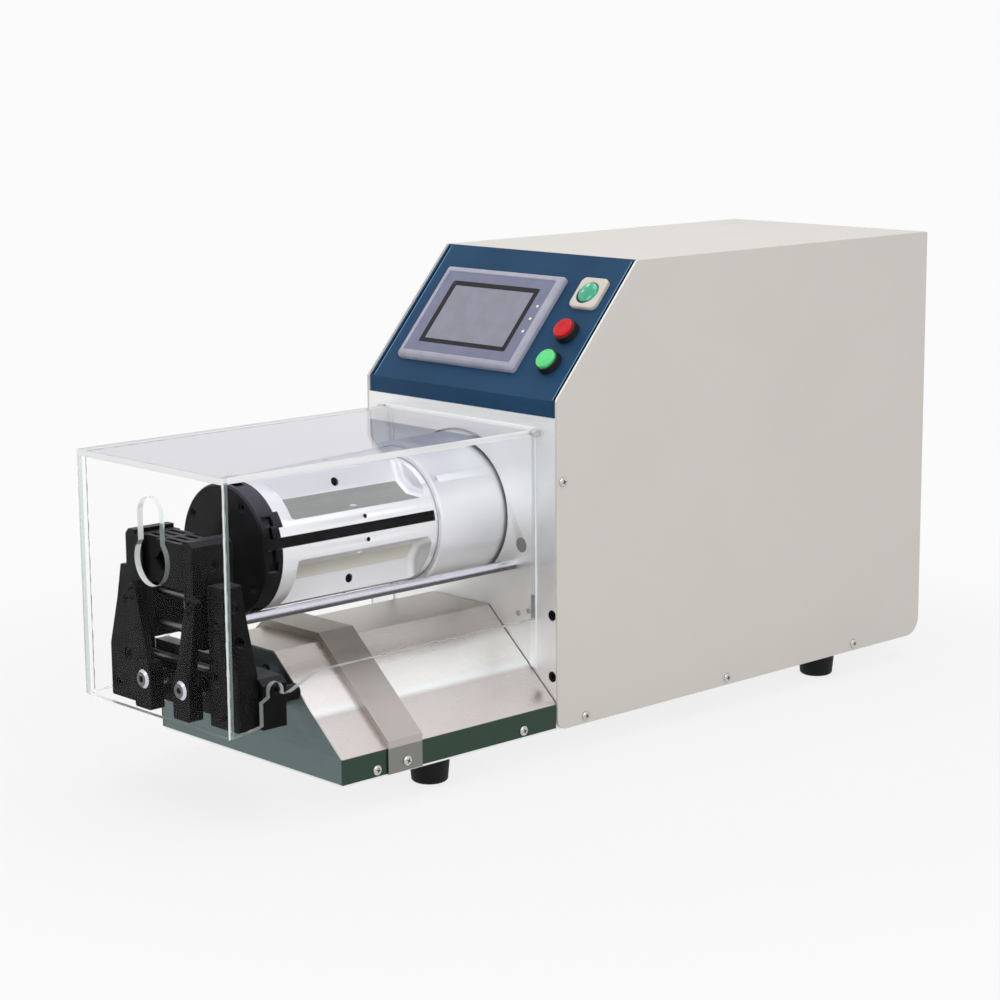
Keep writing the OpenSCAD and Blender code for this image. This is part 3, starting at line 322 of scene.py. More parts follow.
@dataclass(frozen=True)
class Canvas:
    """A material's node tree, its shader, and the Object coordinates that its patterns lie on."""

    tree: bpy.types.NodeTree
    shader: bpy.types.Node
    place: Socket

    def feed(self, name: str, value: Socket) -> None:
        """Links a value to one of the shader's inputs."""
        self.tree.links.new(value, self.shader.inputs[name])

    def noise(self, size: float, detail: float = 2.0, stretch: Point = (1.0, 1.0, 1.0)) -> Socket:
        """Cloudy pattern of a given real size.

        Args:
            size: Width of a feature in millimetres.
            detail: How many finer layers it has.
            stretch: Share of the pattern's scale along each axis. A small one draws it out that way.

        Returns:
            The pattern's value, from 0 to 1.
        """
        scale = tuple(per_mm(size) * s for s in stretch)
        mapped = add(self.tree, "ShaderNodeMapping", {"Vector": self.place, "Scale": scale}).outputs["Vector"]
        inputs = {"Vector": mapped, "Scale": 1.0, "Detail": detail}
        return add(self.tree, "ShaderNodeTexNoise", inputs).outputs["Fac"]

    def spread(self, value: Socket, low: float, high: float, cut: float = 0.3) -> Socket:
        """A pattern's value turned to a range: cut gives low, and 1 - cut gives high.

        Args:
            value: The pattern.
            low: Result at the pattern's dark end.
            high: Result at its light end.
            cut: Where the pattern's range starts, since noise seldom reaches 0 or 1.

        Returns:
            The new value.
        """
        inputs = {"Value": value, "From Min": cut, "From Max": 1 - cut, "To Min": low, "To Max": high}
        return add(self.tree, "ShaderNodeMapRange", inputs).outputs["Result"]

    def rise(self, value: Socket, start: float, end: float) -> Socket:
        """0 where a value is at start and 1 where it is at end, for a start below or above the end."""
        inputs = {"Value": value, "From Min": start, "From Max": end}
        return add(self.tree, "ShaderNodeMapRange", inputs).outputs["Result"]

    def facing_up(self) -> Socket:
        """How far a face looks up: 1 for a level top, 0 for a wall and -1 for an underside."""
        facing = add(self.tree, "ShaderNodeTexCoord").outputs["Normal"]
        return add(self.tree, "ShaderNodeSeparateXYZ", {"Vector": facing}).outputs["Z"]

    def tint(self, share: Socket, first: Any, second: Any) -> Socket:
        """Colour between two, by a share from 0 to 1. Each is a hex value or a socket."""
        pair = [linear(c) if isinstance(c, str) else c for c in (first, second)]
        return add(self.tree, "ShaderNodeMix", {0: share, 6: pair[0], 7: pair[1]}, data_type="RGBA").outputs[2]

    def rough(self, pattern: Socket, low: float, high: float) -> None:
        """Feeds the shader a roughness that follows a pattern, from low at its dark end to high."""
        self.feed("Roughness", self.spread(pattern, low, high))

    def bump(self, height: Socket, depth: float, strength: float = 1.0) -> None:
        """Feeds a height pattern to the shader's normal. depth is its full height in millimetres."""
        inputs = {"Height": height, "Distance": depth * MM, "Strength": strength}
        self.feed("Normal", add(self.tree, "ShaderNodeBump", inputs).outputs["Normal"])


class Grain(Enum):
    """Which way the marks of a tool or a brush run on a metal."""

    NONE = (1.0, 1.0, 1.0)
    ALONG_X = (0.03, 1.0, 1.0)
    ALONG_Y = (1.0, 0.03, 1.0)
    ROUND_Y = (0.03, 1.0, 0.03)


@dataclass(frozen=True)
class Finish:
    """A material with its real name, its record slot, its colour, its roughness and how much it mirrors."""

    name: str
    slot: str
    colour: str
    roughness: float = 0.5
    metallic: float = 0.0
    gloss: float = 0.5
    made: ClassVar[dict] = {}

    def material(self) -> bpy.types.Material:
        """The material, made once and then kept.

        Returns:
            Blender's material with its node tree.
        """
        if self.name in self.made:
            return self.made[self.name]
        mat = bpy.data.materials.new(self.name)
        mat.use_nodes = True
        tree = mat.node_tree
        shader = tree.nodes["Principled BSDF"]
        shader.inputs["Base Color"].default_value = linear(self.colour)
        shader.inputs["Roughness"].default_value = self.roughness
        shader.inputs["Metallic"].default_value = self.metallic
        shader.inputs["Specular IOR Level"].default_value = self.gloss
        place = add(tree, "ShaderNodeTexCoord").outputs["Object"]
        self.dress(Canvas(tree, shader, place))
        self.made[self.name] = mat
        return mat

    def dress(self, c: Canvas) -> None:
        """Adds the finish's own nodes. A plain finish has none."""


@dataclass(frozen=True)
class PowderCoat(Finish):
    """Polyester powder baked on sheet steel. The powder's grains melt to a pebbled satin, which softens highlights."""

    cloud: str = "#ffffff"
    pebble: float = 1.6
    depth: float = 0.02
    speckle: float = 0.0

    def dress(self, c: Canvas) -> None:
        """Pebbles in the normal, a slow drift of tone, and fine specks where the coat is textured."""
        colour = c.tint(c.spread(c.noise(90), 0.0, 0.6), self.colour, self.cloud)
        pebbles = c.noise(self.pebble, 3)
        if self.speckle:
            specks = c.spread(c.noise(self.pebble * 0.8, 1), 0.0, self.speckle, 0.35)
            colour = c.tint(specks, colour, self.cloud)
        c.feed("Base Color", colour)
        c.rough(pebbles, self.roughness - 0.05, self.roughness + 0.07)
        c.bump(pebbles, self.depth)


@dataclass(frozen=True)
class WorkedMetal(Finish):
    """Bare metal with the marks of its last tool. They stretch the highlights and shade the tone a little."""

    metallic: float = 1.0
    shade: str = "#808080"
    grain: Grain = Grain.NONE
    mark: float = 0.6
    depth: float = 0.004
    stain: float = 0.25
    stain_size: float = 35.0
    # under: a painted reflection, the darker tone of faces that look down.
    under: str = ""

    def dress(self, c: Canvas) -> None:
        """Tool marks drawn out along the grain, in tone, roughness and normal, under wider handling clouds.

        Where under is set, it is a painted reflection: the darker tone of faces that look down, for the machine's own
        shadow that they would mirror.
        """
        marks = c.noise(self.mark, 3, self.grain.value)
        colour = c.tint(c.spread(c.noise(self.stain_size, 4), 0.0, self.stain), self.colour, self.shade)
        colour = c.tint(c.spread(marks, 0.0, self.stain * 0.6), colour, self.shade)
        # Painted reflection: faces that look down take the darker under tone.
        if self.under:
            colour = c.tint(c.rise(c.facing_up(), -0.15, 0.25), self.under, colour)
        c.feed("Base Color", colour)
        c.rough(marks, self.roughness - 0.06, self.roughness + 0.08)
        c.bump(marks, self.depth)


@dataclass(frozen=True)
class ChuteSteel(WorkedMetal):
    """Brushed stainless sheet with painted reflection: darker and greener below the fold, for the dark green
    surroundings that the low sheet mirrors.
    """

    # Painted reflection: the green tone below the fold, and steps of painted highlight and shade up the slopes.
    skirt_reflection: str = "#46544e"
    fold_z: float = 43.0
    soft: float = 0.6
    reflection_bands: tuple[tuple[float, float, str], ...] = ()

    def dress(self, c: Canvas) -> None:
        """The brushed finish, with a painted green reflection below the fold and painted highlight and shade up the
        slopes, band by band.

        A band starts to show at its first height, and from its second height on it is the sheet's colour.
        """
        super().dress(c)
        height = add(c.tree, "ShaderNodeSeparateXYZ", {"Vector": c.place}).outputs["Z"]
        # Painted reflection: a darker green tone below the fold, then painted highlight and shade by height.
        above = c.rise(height, (self.fold_z - self.soft) * MM, self.fold_z * MM)
        colour = c.tint(above, self.skirt_reflection, c.shader.inputs["Base Color"].links[0].from_socket)
        for start, end, tone in self.reflection_bands:
            colour = c.tint(c.rise(height, start * MM, end * MM), colour, tone)
        c.feed("Base Color", colour)


@dataclass(frozen=True)
class BlackAnodised(Finish):
    """Aluminium anodised and dyed black after machining: a dense satin black, paler where handling has scuffed it."""

    gloss: float = 0.08
    scuff: str = "#2b2b30"
    scuffs: float = 0.25
    # top is a painted sheen: the paler tone of faces that look up.
    top: str = "#303034"

    def dress(self, c: Canvas) -> None:
        """Fine etch in the normal, cloudy scuffs that lighten the dye, and a painted sheen on what faces up.

        A pore-sealed coat mirrors little, so the light that faces looking up catch is painted into them as a paler
        tone.
        """
        clouds = c.noise(14, 6)
        dyed = c.tint(c.spread(clouds, 0.0, self.scuffs, 0.42), self.colour, self.scuff)
        # Painted sheen: faces that look up take the paler top tone.
        c.feed("Base Color", c.tint(c.rise(c.facing_up(), 0.3, 0.9), dyed, self.top))
        c.rough(clouds, self.roughness + 0.06, self.roughness - 0.08)
        c.bump(c.noise(0.8, 3), 0.001, 0.5)


@dataclass(frozen=True)
class Moulded(Finish):
    """Injection-moulded plastic with an eroded tool's fine grain, or a polished tool's gloss where coat is set."""

    grain_size: float = 0.9
    depth: float = 0.006
    second: str = ""
    coat: float = 0.0
    coat_roughness: float = 0.08
    glow: float = 0.0
    glow_depth: float = 0.004
    glow_scale: float = 0.4

    def dress(self, c: Canvas) -> None:
        """Grain in the normal and roughness, and a slow drift to the second tone."""
        grain = c.noise(self.grain_size, 2)
        if self.second:
            c.feed("Base Color", c.tint(c.spread(c.noise(12), 0.0, 1.0), self.colour, self.second))
        c.rough(grain, self.roughness - 0.04, self.roughness + 0.06)
        shader = c.shader.inputs
        shader["Coat Weight"].default_value = self.coat
        shader["Coat Roughness"].default_value = self.coat_roughness
        shader["Subsurface Weight"].default_value = self.glow
        shader["Subsurface Radius"].default_value = (self.glow_depth,) * 3
        shader["Subsurface Scale"].default_value = self.glow_scale
        c.bump(grain, self.depth)


@dataclass(frozen=True)
class CastAcrylic(Finish):
    """Cast acrylic sheet, clear with a breath of green. It mirrors faintly and lets lamplight through.

    The bend is set well under acrylic's 1.49, because the real sheet is seen against darker surroundings than this
    studio's white, which would veil what is behind it.
    """

    passed: str = "#f2f6f5"
    frost: float = 0.0
    bend: float = 1.06
    mirrorings: float = 2.5

    def dress(self, c: Canvas) -> None:
        """Full transmission at a low refraction, with a clear stand-in for the rays from lamps.

        The stand-in also lets out the rays that a pane's two sides have thrown to and fro, which would end black.
        """
        tree = c.tree
        c.shader.inputs["IOR"].default_value = self.bend
        c.shader.inputs["Transmission Weight"].default_value = 1.0 - self.frost
        c.rough(c.noise(60, 3), self.roughness, self.roughness + 0.02)
        clear = add(tree, "ShaderNodeBsdfTransparent", {"Color": linear(self.passed)}).outputs[0]
        path = add(tree, "ShaderNodeLightPath").outputs
        inputs = {0: path["Glossy Depth"], 1: self.mirrorings}
        caught = add(tree, "ShaderNodeMath", inputs, operation="GREATER_THAN").outputs[0]
        straight = add(tree, "ShaderNodeMath", {0: path["Is Shadow Ray"], 1: caught}, operation="MAXIMUM").outputs[0]
        both = add(tree, "ShaderNodeMixShader", {0: straight, 1: c.shader.outputs[0], 2: clear}).outputs[0]
        tree.links.new(both, tree.nodes["Material Output"].inputs["Surface"])


@dataclass(frozen=True)
class SolderMask(Finish):
    """Fibreglass board under green solder mask. Copper tracks show through as a paler lattice."""

    copper: str = "#2f7d4c"

    def dress(self, c: Canvas) -> None:
        """Tracks as the thin walls of a cell pattern, 6 mm apart."""
        inputs = {"Vector": c.place, "Scale": per_mm(6), "Randomness": 0.25}
        cells = add(c.tree, "ShaderNodeTexVoronoi", inputs, feature="DISTANCE_TO_EDGE").outputs["Distance"]
        tracks = c.rise(cells, 0.1, 0.04)
        c.feed("Base Color", c.tint(tracks, self.colour, self.copper))
        c.bump(tracks, 0.05)


CREAM = PowderCoat("cream powder coat", "cream", "#d6d1cb", 0.5, cloud="#d2cdc7", pebble=1.5, depth=0.012)
# Painted light: a paler copy of the cream for the side panels' rims along the slope and their inner faces beside the
# navy panel.
CREAM_HIGHLIGHT = PowderCoat("cream coat in painted light", "cream", "#f3efe9", 0.45, cloud="#ffffff", pebble=1.5, depth=0.01)
NAVY = PowderCoat("navy textured powder coat", "navy", "#0f3858", 0.5, gloss=0.2, cloud="#1d4a6d", pebble=0.9,
                  depth=0.02, speckle=0.3)
# Painted shade: a darker copy of the navy coat for the lip below the fold.
NAVY_LIP_SHADE = PowderCoat("navy coat below the fold in painted shade", "navy", "#0b2c47", 0.5, gloss=0.2, cloud="#123854", pebble=0.9,
                      depth=0.02)
# Painted shadow and painted highlight: near-black navy for the gaps along the panel's sides, and pale blue for the
# light on its folded rims.
NAVY_GAP_SHADOW = Moulded("shadow at the panel's edge", "navy", "#06121c", 0.7, gloss=0.0, depth=0.0)
NAVY_HIGHLIGHT = PowderCoat("navy coat in painted highlight on a folded rim", "navy", "#4f83ab", 0.4, cloud="#5e90b6", pebble=0.9, depth=0.01)
PLATE_ALU = WorkedMetal("etched aluminium plate", "alu", "#f4f4f4", 0.45, shade="#e2e2e1", mark=0.9, stain=0.25)
RIM_ALU = WorkedMetal("polished aluminium rim", "alu", "#fbfbfc", 0.4, shade="#d4d4d2", mark=0.6, stain=0.15)
PLUG_ALU = WorkedMetal("turned plug", "alu", "#a8a8a6", 0.35, shade="#8d8d8b", grain=Grain.ROUND_Y, mark=0.4, stain=0.6)
TURNED_ALU = WorkedMetal("turned satin aluminium", "alu", "#ececef", 0.5, shade="#d9d9dd", grain=Grain.ROUND_Y,
                         mark=0.5, depth=0.002, stain=0.12)
# Painted shade and painted light: a darker and a paler copy of one milled finish, on alternate pockets of the cage, for
# the dark and bright surroundings that their floors mirror.
POCKET_SHADED = WorkedMetal("milled pocket floor", "alu", "#a6a7a3", 0.6, shade="#8b8c88", grain=Grain.ALONG_Y,
                          mark=0.6, depth=0.002, stain=0.3)
POCKET_LIT = WorkedMetal("milled pocket floor in painted light", "alu", "#e2e0d9", 0.55, shade="#cfcdc6",
                          grain=Grain.ALONG_Y, mark=0.6, depth=0.002, stain=0.3)
MILLED_ALU = WorkedMetal("milled aluminium", "alu", "#cfd0d1", 0.38, shade="#a9aaac", grain=Grain.ALONG_X, mark=0.7)
# The hood's painted highlight starts at 68 mm, its painted darker reflection at 90 mm and again near the top, and below
# the fold its tone is a painted green reflection.
CHUTE = ChuteSteel("brushed stainless sheet", "stainless", "#d6cfcd", 0.32, shade="#c4bbb8", grain=Grain.ALONG_Y,
                   mark=0.35, depth=0.0, stain=0.3, stain_size=70.0, skirt_reflection="#3b4c42",
                   reflection_bands=((68.0, 71.0, "#ffffff"), (72.5, 75.0, "#fbf7f4"), (90.0, 98.0, "#d2c9c2"),
                          (111.0, 112.4, "#b4afa7")))
# Painted reflection: the end plate's whole tone is a darker green-grey, for the green surroundings that it mirrors.
CHUTE_END = ChuteSteel("stainless end plate in painted reflection", "stainless", "#6c7a7a", 0.45, shade="#5d6b6a", grain=Grain.ALONG_X,
                       mark=0.4, depth=0.0, skirt_reflection="#6c7a7a")
# The strap's tone below the fold and its darker tone above 80 mm are painted reflection.
STRAP = ChuteSteel("cross-brushed stainless strap", "stainless", "#bdb5b2", 0.32, shade="#a39a96",
                   grain=Grain.ALONG_X, mark=0.35, depth=0.0, stain=0.3, stain_size=70.0, skirt_reflection="#84857f",
                   reflection_bands=((80.0, 112.0, "#8d857e"),))
GROUND_STEEL = WorkedMetal("ground steel bar", "steel", "#d6d6de", 0.2, shade="#aeaeb6", grain=Grain.ROUND_Y, mark=0.4,
                           depth=0.001, stain=0.12)
# The under tones of these two steels paint the dark reflection on the undersides of rods and shafts.
ROD_STEEL = WorkedMetal("ground guide rod", "steel", "#dcdae4", 0.22, shade="#b4b2bc", grain=Grain.ALONG_Y, mark=0.4,
                        depth=0.0, stain=0.1, under="#5b5b60")
SHAFT_STEEL = WorkedMetal("dark drawn steel", "steel", "#77747a", 0.3, shade="#5a575c", grain=Grain.ALONG_X, mark=0.4,
                          depth=0.001, stain=0.2, under="#29282a")
# Painted shade: a darker copy of the screw steel for the pivot screws' flat faces.
DISC_STEEL_SHADE = WorkedMetal("pivot screw's face", "steel", "#6e6c71", 0.3, shade="#6b696e", mark=0.5, stain=0.4)
SCREW_STEEL = WorkedMetal("nickel-plated steel", "steel", "#cfcdc8", 0.25, shade="#98958f", mark=0.6)
GALVANISED = WorkedMetal("galvanised sheet", "steel", "#b9bcbf", 0.42, shade="#9aa0a4", mark=9.0, depth=0.01)
BLACK_ALU = BlackAnodised("black anodised aluminium", "black_alu", "#060607", 0.42, scuffs=0.06)
# The ring's purplish top tone is a painted sheen on its faces that look up.
RING_BLACK = BlackAnodised("black anodised ring", "black_alu", "#070708", 0.4, scuff="#2d2c34", scuffs=0.15,
                           top="#4a4750")
# Painted shade: a dark inlay for the shadow inside cross recesses and screw sockets.
RECESS_SHADE = Moulded("shadowed cross recess", "steel", "#2b2a29", 0.6, depth=0.0)
BLACK_OXIDE = BlackAnodised("black oxide steel", "black_steel", "#0c0c0d", 0.4, scuff="#303034", scuffs=0.1)
# A paler grey black oxide. On the clamp's top bar it is painted light on the face that looks up, and its top tone is a
# painted sheen.
GREY_OXIDE = BlackAnodised("paler grey black oxide", "black_steel", "#5d5d66", 0.4, gloss=0.3, scuff="#7a7a84", scuffs=0.5,
                           top="#6a6a72")
MOTOR_BLACK = PowderCoat("black motor enamel", "motor_black", "#17171a", 0.4, cloud="#26262b", pebble=1.2,
                         depth=0.02)
RUBBER = Moulded("black moulded rubber", "rubber", "#080a0a", 0.6, gloss=0.2, second="#101212", depth=0.004)
CLEAR = CastAcrylic("clear cast acrylic", "clear", "#fefefe", 0.0)
TOP_SHEET = CastAcrylic("clear acrylic top sheet", "clear", "#d8d7de", 0.02, bend=1.14)
CUT_EDGE = CastAcrylic("sawn acrylic edge", "clear", "#f6f7f7", 0.45, frost=0.9)
DEEP_EDGE = CastAcrylic("polished acrylic edge", "clear", "#cfe0de", 0.2, frost=0.25)
FAINT_EDGE = CastAcrylic("acrylic edge seen through the sheet", "clear", "#e6ecec", 0.3, frost=0.25)
CEMENT = CastAcrylic("dried acrylic cement", "clear", "#f4f5f8", 0.3, frost=0.75)
CASE_GREY = Moulded("lavender grey ABS", "lilac", "#a3a3b3", 0.4, second="#adadbc")
FILM_GREY = Moulded("printed polyester film", "lilac", "#75778f", 0.4, gloss=0.35, second="#7c7e97", grain_size=0.6,
                    depth=0.001)
MASK_BLACK = Moulded("black screen mask", "screen", "#121217", 0.4, gloss=0.25, depth=0.001)
LCD_GREY = Moulded("grey liquid crystal screen", "screen", "#8a8a97", 0.32, gloss=0.3, second="#9090a0", depth=0.0005)
LAMP_WHITE = Moulded("white lamp lens", "screen", "#f6f6fb", 0.25, depth=0.0, coat=0.5)
BONE = Moulded("bone thermoset", "bone", "#d0c8bb", 0.36, second="#d6cfc3", coat=0.2, depth=0.002)
BLACK_ABS = Moulded("black ABS", "black_plastic", "#0d0e0f", 0.42, second="#131415", depth=0.002)
JADE = Moulded("jade polycarbonate", "jade", "#05a478", 0.16, second="#1fb78c", depth=0.0, coat=0.8, glow=0.15)
JADE_DEEP = Moulded("jade polycarbonate in shade", "jade", "#0c3f33", 0.4, gloss=0.2, depth=0.0)
# White for the rocker's ring and bar marks, which are placed where its highlights show and are partly painted
# highlight.
JADE_MARK_HIGHLIGHT = Moulded("white mark and painted highlight", "jade", "#e3f7f0", 0.25, depth=0.0)
RED_CAP = Moulded("red polycarbonate", "red", "#c4060f", 0.35, gloss=0.25, second="#d2151c", depth=0.001, coat=0.1,
                  glow=0.1)
GREEN_CAP = Moulded("green polycarbonate", "green", "#43d873", 0.28, second="#5be086", depth=0.001, coat=0.4,
                    glow=0.15)
BOARD = SolderMask("green solder mask", "board", "#14502e", 0.3)


# Pieces that come from the frame


@dataclass(frozen=True)
class Patch:
    """Faces of a node that have a finish of their own: those whose middle lies in a box.

    The box is in millimetres from the front plate's face and the cabinet's underside. Where facing is given, only
    faces whose normal is within a few degrees of it are meant.
    """

    finish: Finish
    low: Point
    high: Point
    facing: Optional[Point] = None
    within: float = 35.0

    def chosen(self, middles: np.ndarray, normals: np.ndarray) -> np.ndarray:
        """Which faces the patch covers.

        Args:
            middles: N by 3 array of face middles in the row frame, in millimetres.
            normals: N by 3 array of unit normals.

        Returns:
            N truth values.
        """
        place = middles - from_face(np.zeros(3))
        inside = ((place > np.array(self.low)) & (place < np.array(self.high))).all(axis=1)
        if self.facing is None:
            return inside
        towards = np.array(self.facing) / np.linalg.norm(self.facing)
        return inside & (normals @ towards > math.cos(math.radians(self.within)))


def mirrored(finish: Finish, low: Point, high: Point, facing: Optional[Point] = None) -> tuple[Patch, Patch]:
    """The same patch on both sides of the machine's middle: as given, then with x turned round."""
    other = facing and (-facing[0], *facing[1:])
    return Patch(finish, low, high, facing), Patch(finish, (-high[0], *low[1:]), (-low[0], *high[1:]), other)


@dataclass(frozen=True)
class Dress:
    """How a CAD node is shown: its finish, and how far its edges are broken in millimetres where that shows.

    widen takes the points whose |x| is above its first number farther out by its second.
    """

    finish: Finish
    edge: float = 0.0
    sharp: float = 35.0
    patches: tuple[Patch, ...] = ()
    widen: Optional[Pair] = None


def paint(mesh: bpy.types.Mesh, dress: Dress) -> None:
    """Gives a mesh its finish, and its patches theirs.

    Args:
        mesh: The mesh, in the row frame.
        dress: Its finish and patches.
    """
    mesh.materials.clear()
    mesh.materials.append(dress.finish.material())
    index = np.zeros(len(mesh.polygons), np.int32)
    if dress.patches:
        middles, normals = np.zeros(len(index) * 3), np.zeros(len(index) * 3)
        mesh.polygons.foreach_get("center", middles)
        mesh.polygons.foreach_get("normal", normals)
        for number, patch in enumerate(dress.patches, 1):
            mesh.materials.append(patch.finish.material())
            index[patch.chosen(middles.reshape(-1, 3) / MM, normals.reshape(-1, 3))] = number
    mesh.polygons.foreach_set("material_index", index)


def welded(node: str) -> bpy.types.Mesh:
    """Copy of a CAD node's mesh with its loose triangles joined and its flat faces made whole.

    Points within WELD_GAP metres are one, and faces that turn less than FLAT_DEGREES are one.

    Args:
        node: The CAD node.

    Returns:
        The new mesh, whose faces still point outwards.
    """
    mesh = frame["nodes"][node].data.copy()
    work = bmesh.new()
    work.from_mesh(mesh)
    bmesh.ops.remove_doubles(work, verts=work.verts, dist=WELD_GAP)
    bmesh.ops.dissolve_degenerate(work, edges=work.edges, dist=SLIVER)
    bmesh.ops.dissolve_limit(work, angle_limit=math.radians(FLAT_DEGREES), verts=work.verts, edges=work.edges)
    work.to_mesh(mesh)
    work.free()
    return mesh


def edge_broken(node: str, dress: Dress) -> bpy.types.Object:
    """Stands for a CAD node with its sharp edges rounded, as a file or a tumbler leaves them.

    Args:
        node: The CAD node.
        dress: Its finish and how far its edges are broken.

    Returns:
        The new object, which replaces the node.
    """
    mesh = welded(node)
    if dress.widen:
        beyond, step = dress.widen
        points = np.zeros(len(mesh.vertices) * 3)
        mesh.vertices.foreach_get("co", points)
        side = points[::3]
        side += np.where(np.abs(side) > beyond * MM, np.sign(side) * step * MM, 0.0)
        mesh.vertices.foreach_set("co", points)
    smoothed(mesh, dress.sharp)
    paint(mesh, dress)
    piece = shown(node + "_finished", mesh)
    bevel = piece.modifiers.new("broken edges", "BEVEL")
    bevel.width = dress.edge * MM
    bevel.segments = EDGE_STEPS
    bevel.limit_method = "ANGLE"
    bevel.angle_limit = math.radians(dress.sharp)
    bevel.use_clamp_overlap = True
    bevel.miter_outer = "MITER_ARC"
    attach(piece, frame["nodes"][node]["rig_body"])
    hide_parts(node)
    return piece


@dataclass
class SubAssembly:
    """A group of pieces that come off the machine together. nodes says how each CAD node is dressed."""

    title: str
    nodes: dict[str, Dress] = field(default_factory=dict)

    def build(self) -> None:
        """Makes the group's own pieces, then dresses its CAD nodes."""
        self.add_pieces()
        for node, dress in self.nodes.items():
            if dress.edge:
                edge_broken(node, dress)
            else:
                paint(frame["nodes"][node].data, dress)
            log.info("%s: %s in %s", self.title, node, dress.finish.name)

    def add_pieces(self) -> None:
        """Pieces that the CAD leaves out. A group without any has none."""


# Sub-assemblies


@dataclass
class Cabinet(SubAssembly):
    """Folded cream cover, base, front and rear panels, and what screws them together.

    sides are the feet of the dome screws' heads on the +X side, head is a head's radius and height, and cross is a
    recess bar's length and width. Each screw is turned by turn_step degrees more than the one before it.
    """

    title: str = "cabinet"
    nodes: dict[str, Dress] = field(default_factory=lambda: {
        "side_cover": Dress(CREAM, 0.7, patches=(
            # Painted light on the side panels' rims along the slope and on their inner faces beside the navy panel.
            *mirrored(CREAM_HIGHLIGHT, (112.0, -1.0, 252.0), (116.0, 92.0, 372.0), (0.0, -0.75, 0.66)),
            *mirrored(CREAM_HIGHLIGHT, (-113.2, -2.0, 0.0), (-112.8, 400.0, 372.0), (1.0, 0.0, 0.0)),
        )),
        "base_plate": Dress(PLATE_ALU, 0.5),
        "feet": Dress(RUBBER, 1.2),
        "rear_panel": Dress(CREAM),
        "inlet": Dress(BLACK_ABS, 0.2),
        "brackets": Dress(GALVANISED, 0.3),
        "front_plate": Dress(PLATE_ALU, 0.5),
        "seat_plate": Dress(RIM_ALU),
        "black_bolts": Dress(BLACK_OXIDE, 0.35, patches=mirrored(GREY_OXIDE, (80.0, -2.0, 87.0), (92.0, 4.0, 109.0))),
        "dome_screws": Dress(SCREW_STEEL, patches=mirrored(PLUG_ALU, (66.0, 0.0, 139.0), (80.0, 5.0, 153.0))),
    })
    sides: tuple[Point, ...] = (
        (115.0, 6.5, 201.9), (115.0, 31.5, 6.2), (115.0, 202.3, 6.3), (115.0, 372.1, 6.4), (114.0, -188.8, 7.3),
        (114.0, -37.1, 7.3), (115.5, -160.0, 9.1),
    )
    head: Pair = (4.0, 2.2)
    cross: Pair = (3.9, 0.95)
    first_turn: float = 20.0
    turn_step: float = 37.0

    def add_pieces(self) -> None:
        """Painted shade in the cross recesses of the dome screws on both sides, as dark inlays that follow the heads.
        """
        crosses = []
        for number, (x, y, z) in enumerate(self.sides):
            turn = self.first_turn + self.turn_step * number
            crosses += [self.bar(side, np.array([side * x, y, z]), math.radians(way))
                        for side in (1, -1) for way in (turn, turn + 90)]
        points, faces = joined(crosses)
        make_piece("cross_recess_shade", from_face(points), faces, RECESS_SHADE, "machine")

    def bar(self, side: int, foot: np.ndarray, turn: float) -> tuple:
        """One bar of a cross on a dome whose profile is a straight band below and a quarter ellipse above.

        The height at radius r is h (0.3 + 0.7 sqrt(1 - r^2 / R^2)), for a head of radius R and height h. The bar
        narrows towards its ends and lies PROUD millimetres above the dome.

        Args:
            side: 1 for the +X side, -1 for the -X side.
            foot: Where the head stands, from the front plate's face and the cabinet's underside.
            turn: The bar's angle on the head.

        Returns:
            The points and the faces.
        """
        radius, height = self.head
        length, width = self.cross
        u, v = np.meshgrid(np.linspace(-length / 2, length / 2, 9), np.linspace(-width / 2, width / 2, 3))
        u, v = u.ravel(), v.ravel()
        v = v * (1.15 - 0.5 * np.abs(u) / length)
        up = height * (0.3 + 0.7 * np.sqrt(1 - (u * u + v * v) / radius ** 2)) + PROUD
        return foot + np.column_stack([side * up, *swung(u, v, turn)]), grid_faces(3, 9, False).tolist()


